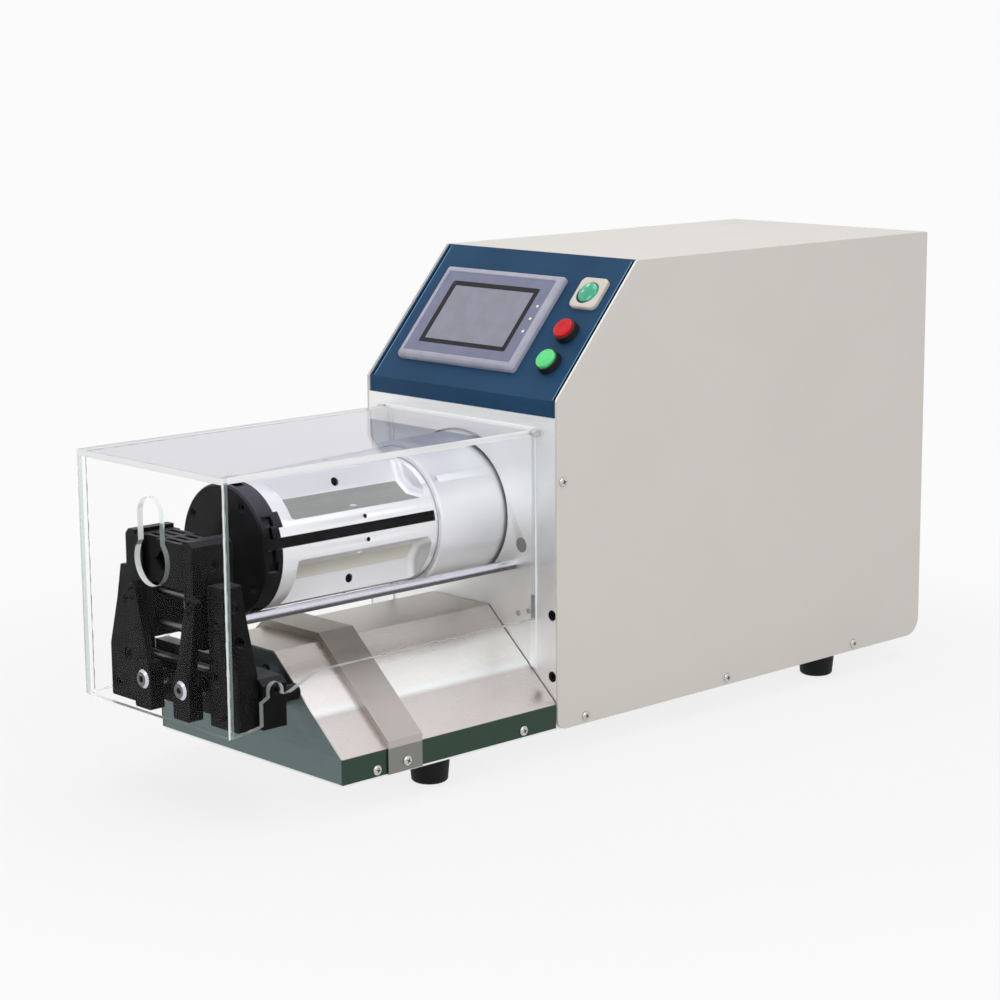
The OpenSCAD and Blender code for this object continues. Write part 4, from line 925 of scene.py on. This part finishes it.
@dataclass
class ControlPanel(SubAssembly):
    """Navy panel with its operator terminal, power rocker and two push buttons.

    Values that end in _s are places up the slope and those in _n are heights out of it. highlight_x and gap_shadow_x
    are the inner and outer limits of the strips along the panel's sides, a painted highlight and a painted shadow. A
    shape's _at is its middle, and its _r a radius.
    """

    title: str = "control panel"
    nodes: dict[str, Dress] = field(default_factory=lambda: {
        "control_panel": Dress(NAVY, 0.5, widen=(110.2, 1.8), patches=(
            # Painted shade on the lip below the fold.
            Patch(NAVY_LIP_SHADE, (-114.0, -2.0, 250.0), (114.0, 1.0, 268.0), (0.0, -1.0, 0.0)),
        )),
    })
    plane: Panel = field(default_factory=Panel)
    sheet: float = -2.0
    # Strips of painted highlight and painted shadow along the panel's sides.
    highlight_x: Pair = (107.3, 108.5)
    gap_shadow_x: Pair = (108.6, 110.5)
    lines_s: Pair = (1.0, 137.5)
    terminal: Pair = (142.0, 94.0)
    case_back: float = -34.0
    terminal_at: Pair = (-19.5, 67.3)
    film: Pair = (129.4, 82.0)
    mask: Pair = (105.3, 63.3)
    picture: Pair = (95.0, 54.5)
    lamp_x: float = 60.2
    lamp_pitch: float = 12.6
    lamp_s: float = 2.2
    button_x: float = 84.0
    button_s: Pair = (63.5, 33.4)
    button_r: float = 8.8
    rocker_s: float = 102.0
    rocker_n: float = -4.0
    rocker_tilt: float = 7.0
    # Place of the painted shadow round the rocker.
    gap_shadow_r: float = 9.7
    gap_shadow_at: Point = (-1.0, -1.3, 1.7)
    ring_r: Pair = (0.65, 1.45)
    ring_at: Pair = (-1.0, 5.7)
    bar: Pair = (1.5, 0.45)
    bar_lean: float = 50.0
    bar_at: Pair = (-3.4, -0.2)
    plate: Pair = (29.5, 5.5)
    hole_r: float = 9.8
    dome: tuple[Pair, ...] = (
        (8.4, -8.0), (9.3, -2.0), (9.5, 4.9), (9.4, 5.7), (9.05, 6.3), (8.5, 6.75), (7.6, 7.2), (6.4, 7.6),
        (4.8, 7.95), (3.0, 8.2), (1.2, 8.3), (0.3, 8.3),
    )

    def add_pieces(self) -> None:
        """Terminal, power switch, collars and caps."""
        self.add_terminal()
        self.add_edge_lines()
        self.add_switch_plate()
        self.add_rocker()
        self.add_collars()
        for s, finish, name in zip(self.button_s, (RED_CAP, GREEN_CAP), ("red", "green")):
            self.add_cap(s, finish, name)

    def on_button(self, points: np.ndarray, s: float, n: float = 0.0) -> np.ndarray:
        """Points about the axis of the button that sits s up the slope, placed on the panel."""
        return self.plane.place(points + np.array([self.button_x, s, n]))

    def on_terminal(self, points: np.ndarray) -> np.ndarray:
        """Points about the terminal's centre, placed on the panel."""
        return self.plane.place(points + np.array([*self.terminal_at, 0.0]))

    def add_terminal(self) -> None:
        """Terminal case with a soft bezel, its printed film, the black mask, the grey screen and three lamps."""
        w, h = self.terminal
        bezel = [(0, self.sheet), (0, 1.0), (0.5, 1.9), (1.6, 3.3), (2.6, 3.95), (3.4, 4.2), (3.9, 4.15), (4.3, 4.35),
                 (5.4, 4.4), (5.9, 4.3), (6.2, 3.95), (6.3, 3.6), (10, 3.6), (10, self.sheet)]
        points, faces = framed(w, h, 3.2, bezel)
        back, sides = framed(w, h, 2, [(6.2, self.case_back), (6.2, self.sheet)], 4)
        points, faces = joined([(points, faces), (back, sides + [list(range(16))[::-1]])])
        case = make_piece("terminal_case", self.on_terminal(points), faces, CASE_GREY, "machine")
        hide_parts("hmi_case")
        (fw, fh), (mw, mh), (pw, ph) = self.film, self.mask, self.picture
        rows = [level(fw, fh, 1.5, 3.5), level(fw - 0.1, fh - 0.1, 1.5, 3.9), level(mw, mh, 2, 3.9),
                level(mw, mh, 2, 3.5)]
        make_piece("terminal_film", self.on_terminal(np.vstack(rows)), grid_faces(4, 32), FILM_GREY, "machine")
        rows = [level(mw, mh, 2, 2.4), level(mw, mh, 2, 3.8), level(mw - 0.5, mh - 0.5, 2, 4.0),
                level(pw + 0.6, ph + 0.6, 1.2, 4.0), level(pw, ph, 1, 3.5)]
        mask = make_piece("screen_mask", self.on_terminal(np.vstack(rows)), grid_faces(5, 32), MASK_BLACK, "machine")
        make_piece("screen_face", self.on_terminal(level(pw, ph, 1, 3.6)), [list(range(32))], LCD_GREY, "machine")
        lens = [(1.3, 2.9), (1.3, 4.0), (1.1, 4.2), (0.6, 4.32)]
        dome, sides = turned(lens, 20)
        points, faces = joined((dome + np.array([self.lamp_x, self.lamp_s + i * self.lamp_pitch, 0]), sides)
                               for i in (-1, 0, 1))
        make_piece("status_lamps", self.on_terminal(points), faces, LAMP_WHITE, "machine")
        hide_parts("hmi_screen")

    def add_edge_lines(self) -> None:
        """Painted highlight on the rounded rim and painted shadow in the gap, along both sides of the panel, as strips
        laid on it.
        """
        # Painted highlight strips on the folded rims and painted shadow strips in the gaps.
        lines = (("panel_highlights", self.highlight_x, NAVY_HIGHLIGHT), ("panel_gap_shadows", self.gap_shadow_x, NAVY_GAP_SHADOW))
        for name, (inner, outer), finish in lines:
            strips = []
            for side in (1, -1):
                s, x = np.meshgrid(np.linspace(*self.lines_s, 12), [side * inner, side * outer], indexing="ij")
                points = np.column_stack([x.ravel(), s.ravel(), np.full(24, self.sheet + PROUD)])
                faces = grid_faces(12, 2, False).tolist()
                strips.append((points, faces if side > 0 else [face[::-1] for face in faces]))
            points, faces = joined(strips)
            make_piece(name, self.plane.place(points), faces, finish, "machine")

    def add_switch_plate(self) -> None:
        """Square bone plate with soft corners and a countersunk round hole, on its barrel behind the panel."""
        size, corner = self.plate
        outside = [(0, self.sheet), (0, 0.5), (0.3, 1.15), (0.9, 1.55), (1.4, 1.65)]
        inside = [(self.hole_r + 0.8, 1.65), (self.hole_r + 0.3, 1.5), (self.hole_r, 1.0), (self.hole_r, -8.0)]
        rows = [level(size - 2 * i, size - 2 * i, corner - i, n, 16) for i, n in outside]
        rows += [level(2 * r, 2 * r, r, n, 16) for r, n in inside]
        barrel, sides = turned([(self.hole_r + 2.3, -20), (self.hole_r + 2.3, self.sheet)], 48)
        points, faces = joined([(np.vstack(rows), grid_faces(9, 64).tolist()), (barrel, sides)])
        plate = make_piece("power_plate", self.on_button(points, self.rocker_s), faces, BONE, "machine", 40)
        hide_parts("switch_plate")

    def on_rocker(self, points: np.ndarray) -> np.ndarray:
        """Points about the rocker's axle, leaning by its tilt about x, placed on the panel."""
        x, y, z = points.T
        leaned = np.column_stack([x, *swung(y, z, math.radians(self.rocker_tilt))])
        return self.on_button(leaned, self.rocker_s, self.rocker_n)

    def add_rocker(self) -> None:
        """Round jade rocker with a domed face, the painted shadow in the hole round it, and the ring and bar on it,
        which are partly painted highlights.
        """
        points, faces = turned(self.dome, 72)
        pin, ends = turned([(1.5, -10.8), (1.5, 10.8)], 24)
        points, faces = joined([(points, faces), (pin[:, [2, 0, 1]], ends)])
        rocker = make_piece("jade_rocker", self.on_rocker(points), faces, JADE, "rocker", 40)
        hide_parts("power_rocker")
        # Painted shadow: a dark jade disc set off centre under the rocker's rim, for the shade in the hole round it.
        shade, faces = turned([(self.gap_shadow_r, -0.02), (self.gap_shadow_r, 0.0)], 48)
        shade = self.on_button(shade + np.array(self.gap_shadow_at), self.rocker_s)
        make_piece("rocker_gap_shadow", shade, faces, JADE_DEEP, "machine")
        # White ring and bar for the switch's O and I marks, laid where the dome shows its highlights, so they are
        # partly painted highlights.
        t = np.linspace(0, 2 * math.pi, 28, endpoint=False)
        ring = np.vstack([np.column_stack([r * np.cos(t), r * np.sin(t)]) for r in self.ring_r])
        half_length, half_width = self.bar
        u, v = np.meshgrid(np.linspace(-half_length, half_length, 7), np.array([-half_width, half_width]))
        u, v = u.ravel(), v.ravel()
        bar = np.column_stack(swung(u, v, math.radians(self.bar_lean)))
        ring, bar = ring + np.array(self.ring_at), bar + np.array(self.bar_at)
        marks = joined([(self.domed(ring), grid_faces(2, 28).tolist()),
                        (self.domed(bar), grid_faces(2, 7, False).tolist())])
        make_piece("rocker_marks_and_highlights", self.on_rocker(marks[0]), marks[1], JADE_MARK_HIGHLIGHT, "rocker")

    def domed(self, flat: np.ndarray) -> np.ndarray:
        """Flat marks laid on the rocker's dome, a twentieth of a millimetre proud."""
        radius, height = (np.array(side)[::-1] for side in zip(*self.dome[3:]))
        return np.column_stack([flat, np.interp(np.hypot(*flat.T), radius, height) + 0.05])

    def add_collars(self) -> None:
        """Black collars of the two buttons: a turned ring whose side is a row of 36 ribs."""
        r = self.button_r
        ribs = 36

        def ripple(radius: np.ndarray, height: np.ndarray, turn: np.ndarray) -> np.ndarray:
            """Ribs on the outside only: the radius drops by up to 0.35 mm as the square of a sine of the turn."""
            outside = (radius > r + 1.0) & (height > self.sheet + 0.3) & (height < 3.9)
            return radius - np.where(outside, 0.35 * np.sin(turn * ribs / 2) ** 2, 0)

        profile = [(r + 1.8, self.sheet), (r + 1.8, self.sheet + 0.6), (r + 1.3, 3.6), (r + 1.0, 4.2), (r + 0.6, 4.4),
                   (r + 0.2, 4.3), (r + 0.12, 3.9), (r + 0.1, -1.6)]
        barrel = [(r - 0.8, -26), (r - 0.8, self.sheet)]
        nut = [(r + 2.6, self.sheet - 6), (r + 2.6, self.sheet - 2)]
        collar, sides = joined([turned(profile, 144, ripple), turned(barrel, 48), turned(nut, 6)])
        points, faces = joined((self.on_button(collar, s), sides) for s in self.button_s)
        collars = make_piece("ribbed_collars", points, faces, BLACK_ABS, "machine", 50)
        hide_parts("button_collars")

    def add_cap(self, s: float, finish: Finish, name: str) -> None:
        """Push cap with a soft rim, a fine ring and a slightly dished face, on its stem.

        Args:
            s: Its place up the slope.
            finish: Its plastic.
            name: The colour in its name.
        """
        r = self.button_r
        profile = [(4, -18), (4, 0.8), (r - 0.3, 0.8), (r, 1.1), (r, 5.9), (r - 0.15, 6.4), (r - 0.5, 6.8),
                   (r - 0.9, 6.98), (r - 1.6, 7.0), (r - 1.8, 6.82), (r - 2.1, 6.8), (r - 2.3, 6.92), (r - 4, 6.8),
                   (r - 6.5, 6.7), (0.6, 6.68)]
        points, faces = turned(profile, 72)
        cap = make_piece(f"{name}_cap", self.on_button(points, s), faces, finish, f"{name}_cap", 40)
        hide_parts(f"{name}_button")


@dataclass
class SafetyCover(SubAssembly):
    """Clear five-sided cover with its cut edges, its cemented seams and the lugs that it turns on.

    Its sides lie at half on either side of the middle, its front and back are given from the front plate's face, and
    low and top from the cabinet's underside. strip is the paler part of the front pane's outer edge.
    """

    title: str = "safety cover"
    nodes: dict[str, Dress] = field(default_factory=lambda: {"hinge_blocks": Dress(MILLED_ALU, 0.4)})
    half: float = 91.3
    front: float = -308.7
    back: float = -4.0
    low: float = 50.0
    top: float = 242.3
    pane: float = 5.0
    strip: float = 1.6

    def add_pieces(self) -> None:
        """The cover, split where panes meet so that each edge has its own finish, and the cement in its corners."""
        mesh = self.split(welded("cover"))
        paint(mesh, self.panes())
        smoothed(mesh, 30)
        cover = shown("acrylic_cover", mesh)
        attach(cover, "cover")
        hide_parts("cover")
        self.add_cement()

    def split(self, mesh: bpy.types.Mesh) -> bpy.types.Mesh:
        """Cuts the cover's faces along the front pane's back, its edge strip and the top pane's underside.

        Args:
            mesh: The cover's mesh.

        Returns:
            The same mesh.
        """
        work = bmesh.new()
        work.from_mesh(mesh)
        along, up = (0, 1, 0), (0, 0, 1)
        cuts = ((self.front + self.pane, along), (self.front + self.strip, along), (self.top - self.pane, up))
        for at, normal in cuts:
            place = from_face(at * np.array(normal)) * MM
            geometry = work.verts[:] + work.edges[:] + work.faces[:]
            bmesh.ops.bisect_plane(work, geom=geometry, dist=SLIVER, plane_co=place.tolist(), plane_no=normal)
        work.to_mesh(mesh)
        work.free()
        return mesh

    def panes(self) -> Dress:
        """Clear sheet, with the top sheet, the sawn edges and the front pane's polished edges as patches.

        A sawn edge is any face between a pane's two sides: in the openings, along the bottom and at the rear.
        """
        seam, under, inner = self.front + self.pane, self.top - self.pane, self.half - self.pane
        patches = [
            Patch(TOP_SHEET, (-100.0, self.front - 1, under - 0.2), (100.0, 1.0, self.top + 0.2), (0.0, 0.0, side))
            for side in (1.0, -1.0)
        ]
        patches.append(Patch(CUT_EDGE, (-91.0, self.front - 1, under + 0.1), (91.0, 1.0, self.top - 0.1)))
        slab = ((-91.0, self.front + 0.1, 0.0), (91.0, seam - 0.1, under - 0.1))
        patches += [Patch(CUT_EDGE, *slab), Patch(FAINT_EDGE, *slab, (-1.0, 0.0, 0.0), 62.0),
                    Patch(FAINT_EDGE, *slab, (0.0, 0.0, -1.0), 62.0)]
        for side in (1.0, -1.0):
            low_x, high_x = sorted((side * (inner + 0.1), side * (self.half - 0.1)))
            slab = ((low_x, seam - 1, 0.0), (high_x, 1.0, under - 0.1))
            patches += [Patch(FAINT_EDGE, *slab), Patch(CUT_EDGE, *slab, (0.0, -1.0, 0.0), 50.0)]
            low_x, high_x = sorted((side * (self.half - 0.1), side * (self.half + 0.1)))
            way = (side, 0.0, 0.0)
            patches += [
                Patch(CUT_EDGE, (low_x, seam, under), (high_x, 1.0, self.top + 0.1), way),
                Patch(DEEP_EDGE, (low_x, self.front + self.strip, 0.0), (high_x, seam, self.top + 0.1), way),
                Patch(CUT_EDGE, (low_x, self.front - 0.1, 0.0), (high_x, self.front + self.strip, 300.0), way),
            ]
        return Dress(CLEAR, patches=tuple(patches))

    def add_cement(self) -> None:
        """Wavy beads of cement in the inner corners, under the top pane and behind the front pane."""
        x, y, z = self.half - self.pane, self.front + self.pane, self.top - self.pane
        beads = []
        for side in (1, -1):
            beads.append(self.bead((side * x, y, z), (side * x, self.back, z), (-side, 0, 0), (0, 0, -1)))
            beads.append(self.bead((side * x, y, self.low + 4), (side * x, y, z), (-side, 0, 0), (0, 1, 0)))
        beads.append(self.bead((-x, y, z), (x, y, z), (0, 1, 0), (0, 0, -1)))
        points, faces = joined(beads)
        make_piece("cement_beads", from_face(points), faces, CEMENT, "cover", 60)

    def bead(self, start: Point, end: Point, first: Point, second: Point) -> tuple:
        """Three-sided bead along an inner corner, whose two widths swell and shrink as sums of two sines.

        Args:
            start: One end of the corner.
            end: The other end.
            first: Unit direction away from the corner on one pane.
            second: The same on the other pane.

        Returns:
            The points and the faces.
        """
        a, b = np.array(start, float), np.array(end, float)
        length = float(np.linalg.norm(b - a))
        t = np.linspace(0, 1, max(int(length / 2.5), 8))[:, None]
        run = t * length
        wide = 0.75 + 0.3 * np.sin(run / 3.1) + 0.25 * np.sin(run / 1.7 + 1.0)
        deep = 0.75 + 0.3 * np.sin(run / 2.3 + 2.0) + 0.2 * np.sin(run / 4.7)
        line = a + t * (b - a)
        rows = np.stack([line, line + wide * np.array(first, float), line + deep * np.array(second, float)], axis=1)
        count = len(line)
        last = 3 * (count - 1)
        faces = grid_faces(count, 3).tolist() + [[2, 1, 0], [last, last + 1, last + 2]]
        if np.dot(b - a, np.cross(first, second)) < 0:
            faces = [face[::-1] for face in faces]
        return rows.reshape(-1, 3), faces


@dataclass
class Chute(SubAssembly):
    """Folded stainless hood over the clamp's drive, with its end plate and the strap."""

    title: str = "chute"
    nodes: dict[str, Dress] = field(default_factory=lambda: {
        "hood": Dress(CHUTE, 0.6, 15),
        "hood_end": Dress(CHUTE_END, 0.3),
        "hood_strap": Dress(STRAP, 0.5, 15),
    })


def pocket_sides() -> tuple[Patch, ...]:
    """Milled floors of the cage's four pockets, and one wall of the two greyer ones: painted shade on the greyer two
    and painted light on the others.

    A floor's middle is 36 mm from the spindle's axis. A wall's is about 42 mm from it, 22 degrees round, and faces
    29.7 degrees the other way.
    """
    sides, first_turn, axis_z, round_by = [], 56.5, 167.0, 0.74
    for quarter, finish in enumerate((POCKET_SHADED, POCKET_LIT, POCKET_SHADED, POCKET_LIT)):
        turn = first_turn + 90 * quarter
        for lean, out, reach in ((0.0, 36.0, 9.0), (29.7, 42.0, 12.0)):
            if lean and finish is POCKET_LIT:
                continue
            way, at = math.radians(turn + lean), math.radians(turn - round_by * lean)
            x, z = out * math.cos(at), axis_z + out * math.sin(at)
            low, high = (x - reach, -222.0, z - reach), (x + reach, -60.0, z + reach)
            sides.append(Patch(finish, low, high, (math.cos(way), 0.0, math.sin(way)), 8.0))
    return tuple(sides)


@dataclass
class RotaryHead(SubAssembly):
    """Quill, four-window cage, black head ring with its arms, cone and spindle."""

    title: str = "rotary head"
    nodes: dict[str, Dress] = field(default_factory=lambda: {
        "quill": Dress(TURNED_ALU, 0.5),
        "quill_bearings": Dress(GROUND_STEEL, 0.4),
        "spindle": Dress(GROUND_STEEL, 0.4),
        "cage": Dress(TURNED_ALU, 0.35, patches=pocket_sides()),
        "head_ring": Dress(RING_BLACK, 0.4),
        "head_screws": Dress(BLACK_OXIDE),
        "push_cone": Dress(GROUND_STEEL),
        **{f"arm_{number}": Dress(BLACK_OXIDE, 0.3) for number in range(1, 5)},
    })


def screw_face() -> tuple[Patch, ...]:
    """Painted shade on the pivot screws: a greyer disc and a dark socket, inside their bright chamfers."""
    return (
        Patch(DISC_STEEL_SHADE, (-60.0, -304.0, 60.0), (60.0, -302.7, 90.0), (0.0, -1.0, 0.0)),
        *(Patch(RECESS_SHADE, (x - 3.0, -302.7, 70.0), (x + 3.0, -299.0, 76.0)) for x in (-24.0, 24.0)),
    )


@dataclass
class CableClamp(SubAssembly):
    """Self-centring clamp: guide rods, uprights, cross block, jaws with combs, slotted levers and their gears."""

    title: str = "cable clamp"
    nodes: dict[str, Dress] = field(default_factory=lambda: {
        "guide_rods": Dress(ROD_STEEL, 0.4),
        "uprights": Dress(BLACK_ALU, 0.6),
        "cross_block": Dress(BLACK_ALU, 0.6),
        "clamp_bars": Dress(SHAFT_STEEL, 0.3, patches=(
            Patch(BLACK_OXIDE, (-47.0, -274.0, 86.0), (47.0, -260.0, 97.0)),
            # Painted light: the top bar's face that looks up is in the paler grey.
            Patch(GREY_OXIDE, (-47.0, -274.0, 86.0), (47.0, -260.0, 97.0), (0.0, 0.0, 1.0)),
            *mirrored(BLACK_OXIDE, (60.0, -290.0, 100.0), (70.0, -276.0, 150.0)),
        )),
        "clamp_neck": Dress(BLACK_ALU, 0.5),
        "clamp_motor": Dress(MOTOR_BLACK, 0.5),
        **{f"{part}_{side}": Dress(BLACK_ALU, edge) for part, edge in (("jaw", 0.5), ("comb", 0.25), ("lever", 0.5))
           for side in ("left", "right")},
        **{f"gear_shaft_{side}": Dress(GROUND_STEEL, patches=screw_face()) for side in ("left", "right")},
    })


@dataclass
class FeedDrive(SubAssembly):
    """Carriage on its rails, with the spindle's motor, the cone's motor and the feed screw."""

    title: str = "feed drive"
    nodes: dict[str, Dress] = field(default_factory=lambda: {
        "carriage": Dress(MILLED_ALU, 0.5),
        "spindle_motor": Dress(MOTOR_BLACK, 0.5),
        "motor_pulley": Dress(MILLED_ALU, 0.3),
        "drive_belt": Dress(RUBBER),
        "cone_motor": Dress(MOTOR_BLACK, 0.5),
        "cone_fork": Dress(MILLED_ALU, 0.4),
        "feed_rails": Dress(GROUND_STEEL, 0.5),
        "feed_screw": Dress(GROUND_STEEL),
        "feed_motor": Dress(MOTOR_BLACK),
    })


@dataclass
class Electrics(SubAssembly):
    """Power supply and control board behind the inner wall."""

    title: str = "electrics"
    nodes: dict[str, Dress] = field(default_factory=lambda: {
        "power_supply": Dress(GALVANISED),
        "control_board": Dress(BOARD),
    })


# Studio


def posed(name: str, data: bpy.types.ID, axes: Sequence[np.ndarray], at: np.ndarray) -> bpy.types.Object:
    """Puts a lamp or a camera in the scene.

    Args:
        name: Its name.
        data: Its lamp or camera data.
        axes: Where its own x, y and z point, as three unit vectors.
        at: Where it stands, in metres.

    Returns:
        The new object.
    """
    turn = np.eye(4)
    turn[:3, :3] = np.column_stack(axes)
    turn[:3, 3] = at
    thing = shown(name, data)
    thing.matrix_world = Matrix(turn.tolist())
    return thing


@dataclass(frozen=True)
class SoftBox:
    """A square lamp that looks at the machine. power is in watts."""

    name: str
    at: Point
    towards: Point
    size: float
    power: float
    colour: str = "#ffffff"

    def hang(self) -> None:
        """Puts the lamp in the scene: it shines along its own -z, which is turned to face its target."""
        data = bpy.data.lights.new(self.name, "AREA")
        data.shape, data.size, data.energy = "SQUARE", self.size, self.power
        data.color = linear(self.colour)[:3]
        back = np.array(self.at) - np.array(self.towards)
        back /= np.linalg.norm(back)
        side = np.cross((0.0, 1.0, 0.0) if abs(back[2]) > 0.9 else (0.0, 0.0, 1.0), back)
        side /= np.linalg.norm(side)
        posed(self.name, data, (side, np.cross(back, side), back), np.array(self.at))


@dataclass(frozen=True)
class Camera:
    """The photograph's camera: where it stands in millimetres, where it looks in degrees, and its lens."""

    at: Point = (1495.36, -1426.43, 575.79)
    heading: float = -47.0255
    pitch: float = -10.7507
    roll: float = -0.4472
    lens: float = 89.71

    def stand(self) -> None:
        """Puts the camera in the scene.

        Its line of sight is (sin h cos p, cos h cos p, sin p), its right hand is square to that and to the
        vertical, and both its right hand and its up are then turned by the roll.
        """
        h, p, r = (math.radians(v) for v in (self.heading, self.pitch, self.roll))
        sight = np.array((math.sin(h) * math.cos(p), math.cos(h) * math.cos(p), math.sin(p)))
        right = np.cross(sight, (0.0, 0.0, 1.0))
        right /= np.linalg.norm(right)
        up = np.cross(right, sight)
        right, up = math.cos(r) * right + math.sin(r) * up, math.cos(r) * up - math.sin(r) * right
        data = bpy.data.cameras.new("camera")
        data.lens, data.sensor_width = self.lens, 36.0
        bpy.context.scene.camera = posed("camera", data, (right, up, -sight), np.array(self.at) * MM)


@dataclass(frozen=True)
class Studio:
    """Pale table and surroundings with soft light, and the photograph's camera."""

    white: str = "#fbfbfb"
    table: str = "#e9e9e9"
    surround: float = 0.62
    half: float = 8.0
    shown: float = 0.8
    near: float = 0.35
    far: float = 0.9
    lamps: tuple[SoftBox, ...] = (
        SoftBox("overhead softbox", (0.0, 0.1, 2.3), (0.0, 0.1, 0.3), 1.6, 15.0),
        SoftBox("right softbox", (2.4, -0.6, 1.5), (0.0, 0.1, 0.2), 1.4, 14.0),
        SoftBox("front softbox", (-0.4, -2.6, 1.4), (0.0, -0.2, 0.2), 1.4, 12.0),
    )

    def build(self) -> None:
        """Sets up the view, the world, the table, the lamps and the camera."""
        bpy.context.scene.view_settings.view_transform = "Standard"
        self.make_world()
        self.make_table()
        for lamp in self.lamps:
            lamp.hang()
        Camera().stand()

    def seen(self, tree: bpy.types.NodeTree) -> Socket:
        """1 for rays that show something, straight or by gloss or glass, and 0 for those that only light it."""
        path = add(tree, "ShaderNodeLightPath").outputs
        total = path["Is Camera Ray"]
        for kind in ("Is Glossy Ray", "Is Transmission Ray"):
            total = add(tree, "ShaderNodeMath", {0: total, 1: path[kind]}, operation="MAXIMUM").outputs[0]
        return total

    def make_world(self) -> None:
        """Plain white all round, weaker as a light than as a backdrop."""
        world = bpy.data.worlds.new("studio")
        bpy.context.scene.world = world
        world.use_nodes = True
        tree = world.node_tree
        lit = tree.nodes["Background"]
        lit.inputs["Color"].default_value = linear(self.white)
        lit.inputs["Strength"].default_value = self.surround
        shown = add(tree, "ShaderNodeBackground", {"Color": linear(self.white), "Strength": 1.0}).outputs[0]
        mixed = add(tree, "ShaderNodeMixShader", {0: self.seen(tree), 1: lit.outputs[0], 2: shown}).outputs[0]
        tree.links.new(mixed, tree.nodes["World Output"].inputs["Surface"])

    def make_table(self) -> None:
        """Wide white table at the feet. It shows mostly its own white, and keeps a share of the shadow near by."""
        mesh = bpy.data.meshes.new("table")
        h = self.half
        mesh.from_pydata([(-h, -h, 0), (h, -h, 0), (h, h, 0), (-h, h, 0)], [], [(0, 1, 2, 3)])
        mat = bpy.data.materials.new("white studio table")
        mat.use_nodes = True
        tree = mat.node_tree
        shader = tree.nodes["Principled BSDF"]
        shader.inputs["Base Color"].default_value = linear(self.table)
        shader.inputs["Roughness"].default_value = 0.9
        glow = add(tree, "ShaderNodeEmission", {"Color": linear(self.white), "Strength": 1.0}).outputs[0]
        place = add(tree, "ShaderNodeTexCoord").outputs["Object"]
        away = add(tree, "ShaderNodeVectorMath", {0: place}, operation="LENGTH").outputs["Value"]
        inputs = {"Value": away, "From Min": self.near, "From Max": self.far, "To Min": self.shown, "To Max": 1.0}
        white = add(tree, "ShaderNodeMapRange", inputs, interpolation_type="SMOOTHSTEP").outputs["Result"]
        share = add(tree, "ShaderNodeMath", {0: self.seen(tree), 1: white}, operation="MULTIPLY").outputs[0]
        mixed = add(tree, "ShaderNodeMixShader", {0: share, 1: shader.outputs[0], 2: glow}).outputs[0]
        tree.links.new(mixed, tree.nodes["Material Output"].inputs["Surface"])
        mesh.materials.append(mat)
        shown("table", mesh)


def main() -> None:
    """Builds the studio and the machine's sub-assemblies in the order that they go together."""
    logging.basicConfig(level=logging.INFO, format="%(name)s %(message)s")
    Studio().build()
    for part in (Cabinet(), ControlPanel(), SafetyCover(), Chute(), RotaryHead(), CableClamp(), FeedDrive(),
                 Electrics()):
        part.build()
        log.info("%s is dressed", part.title)


if __name__ == "__main__":
    main()
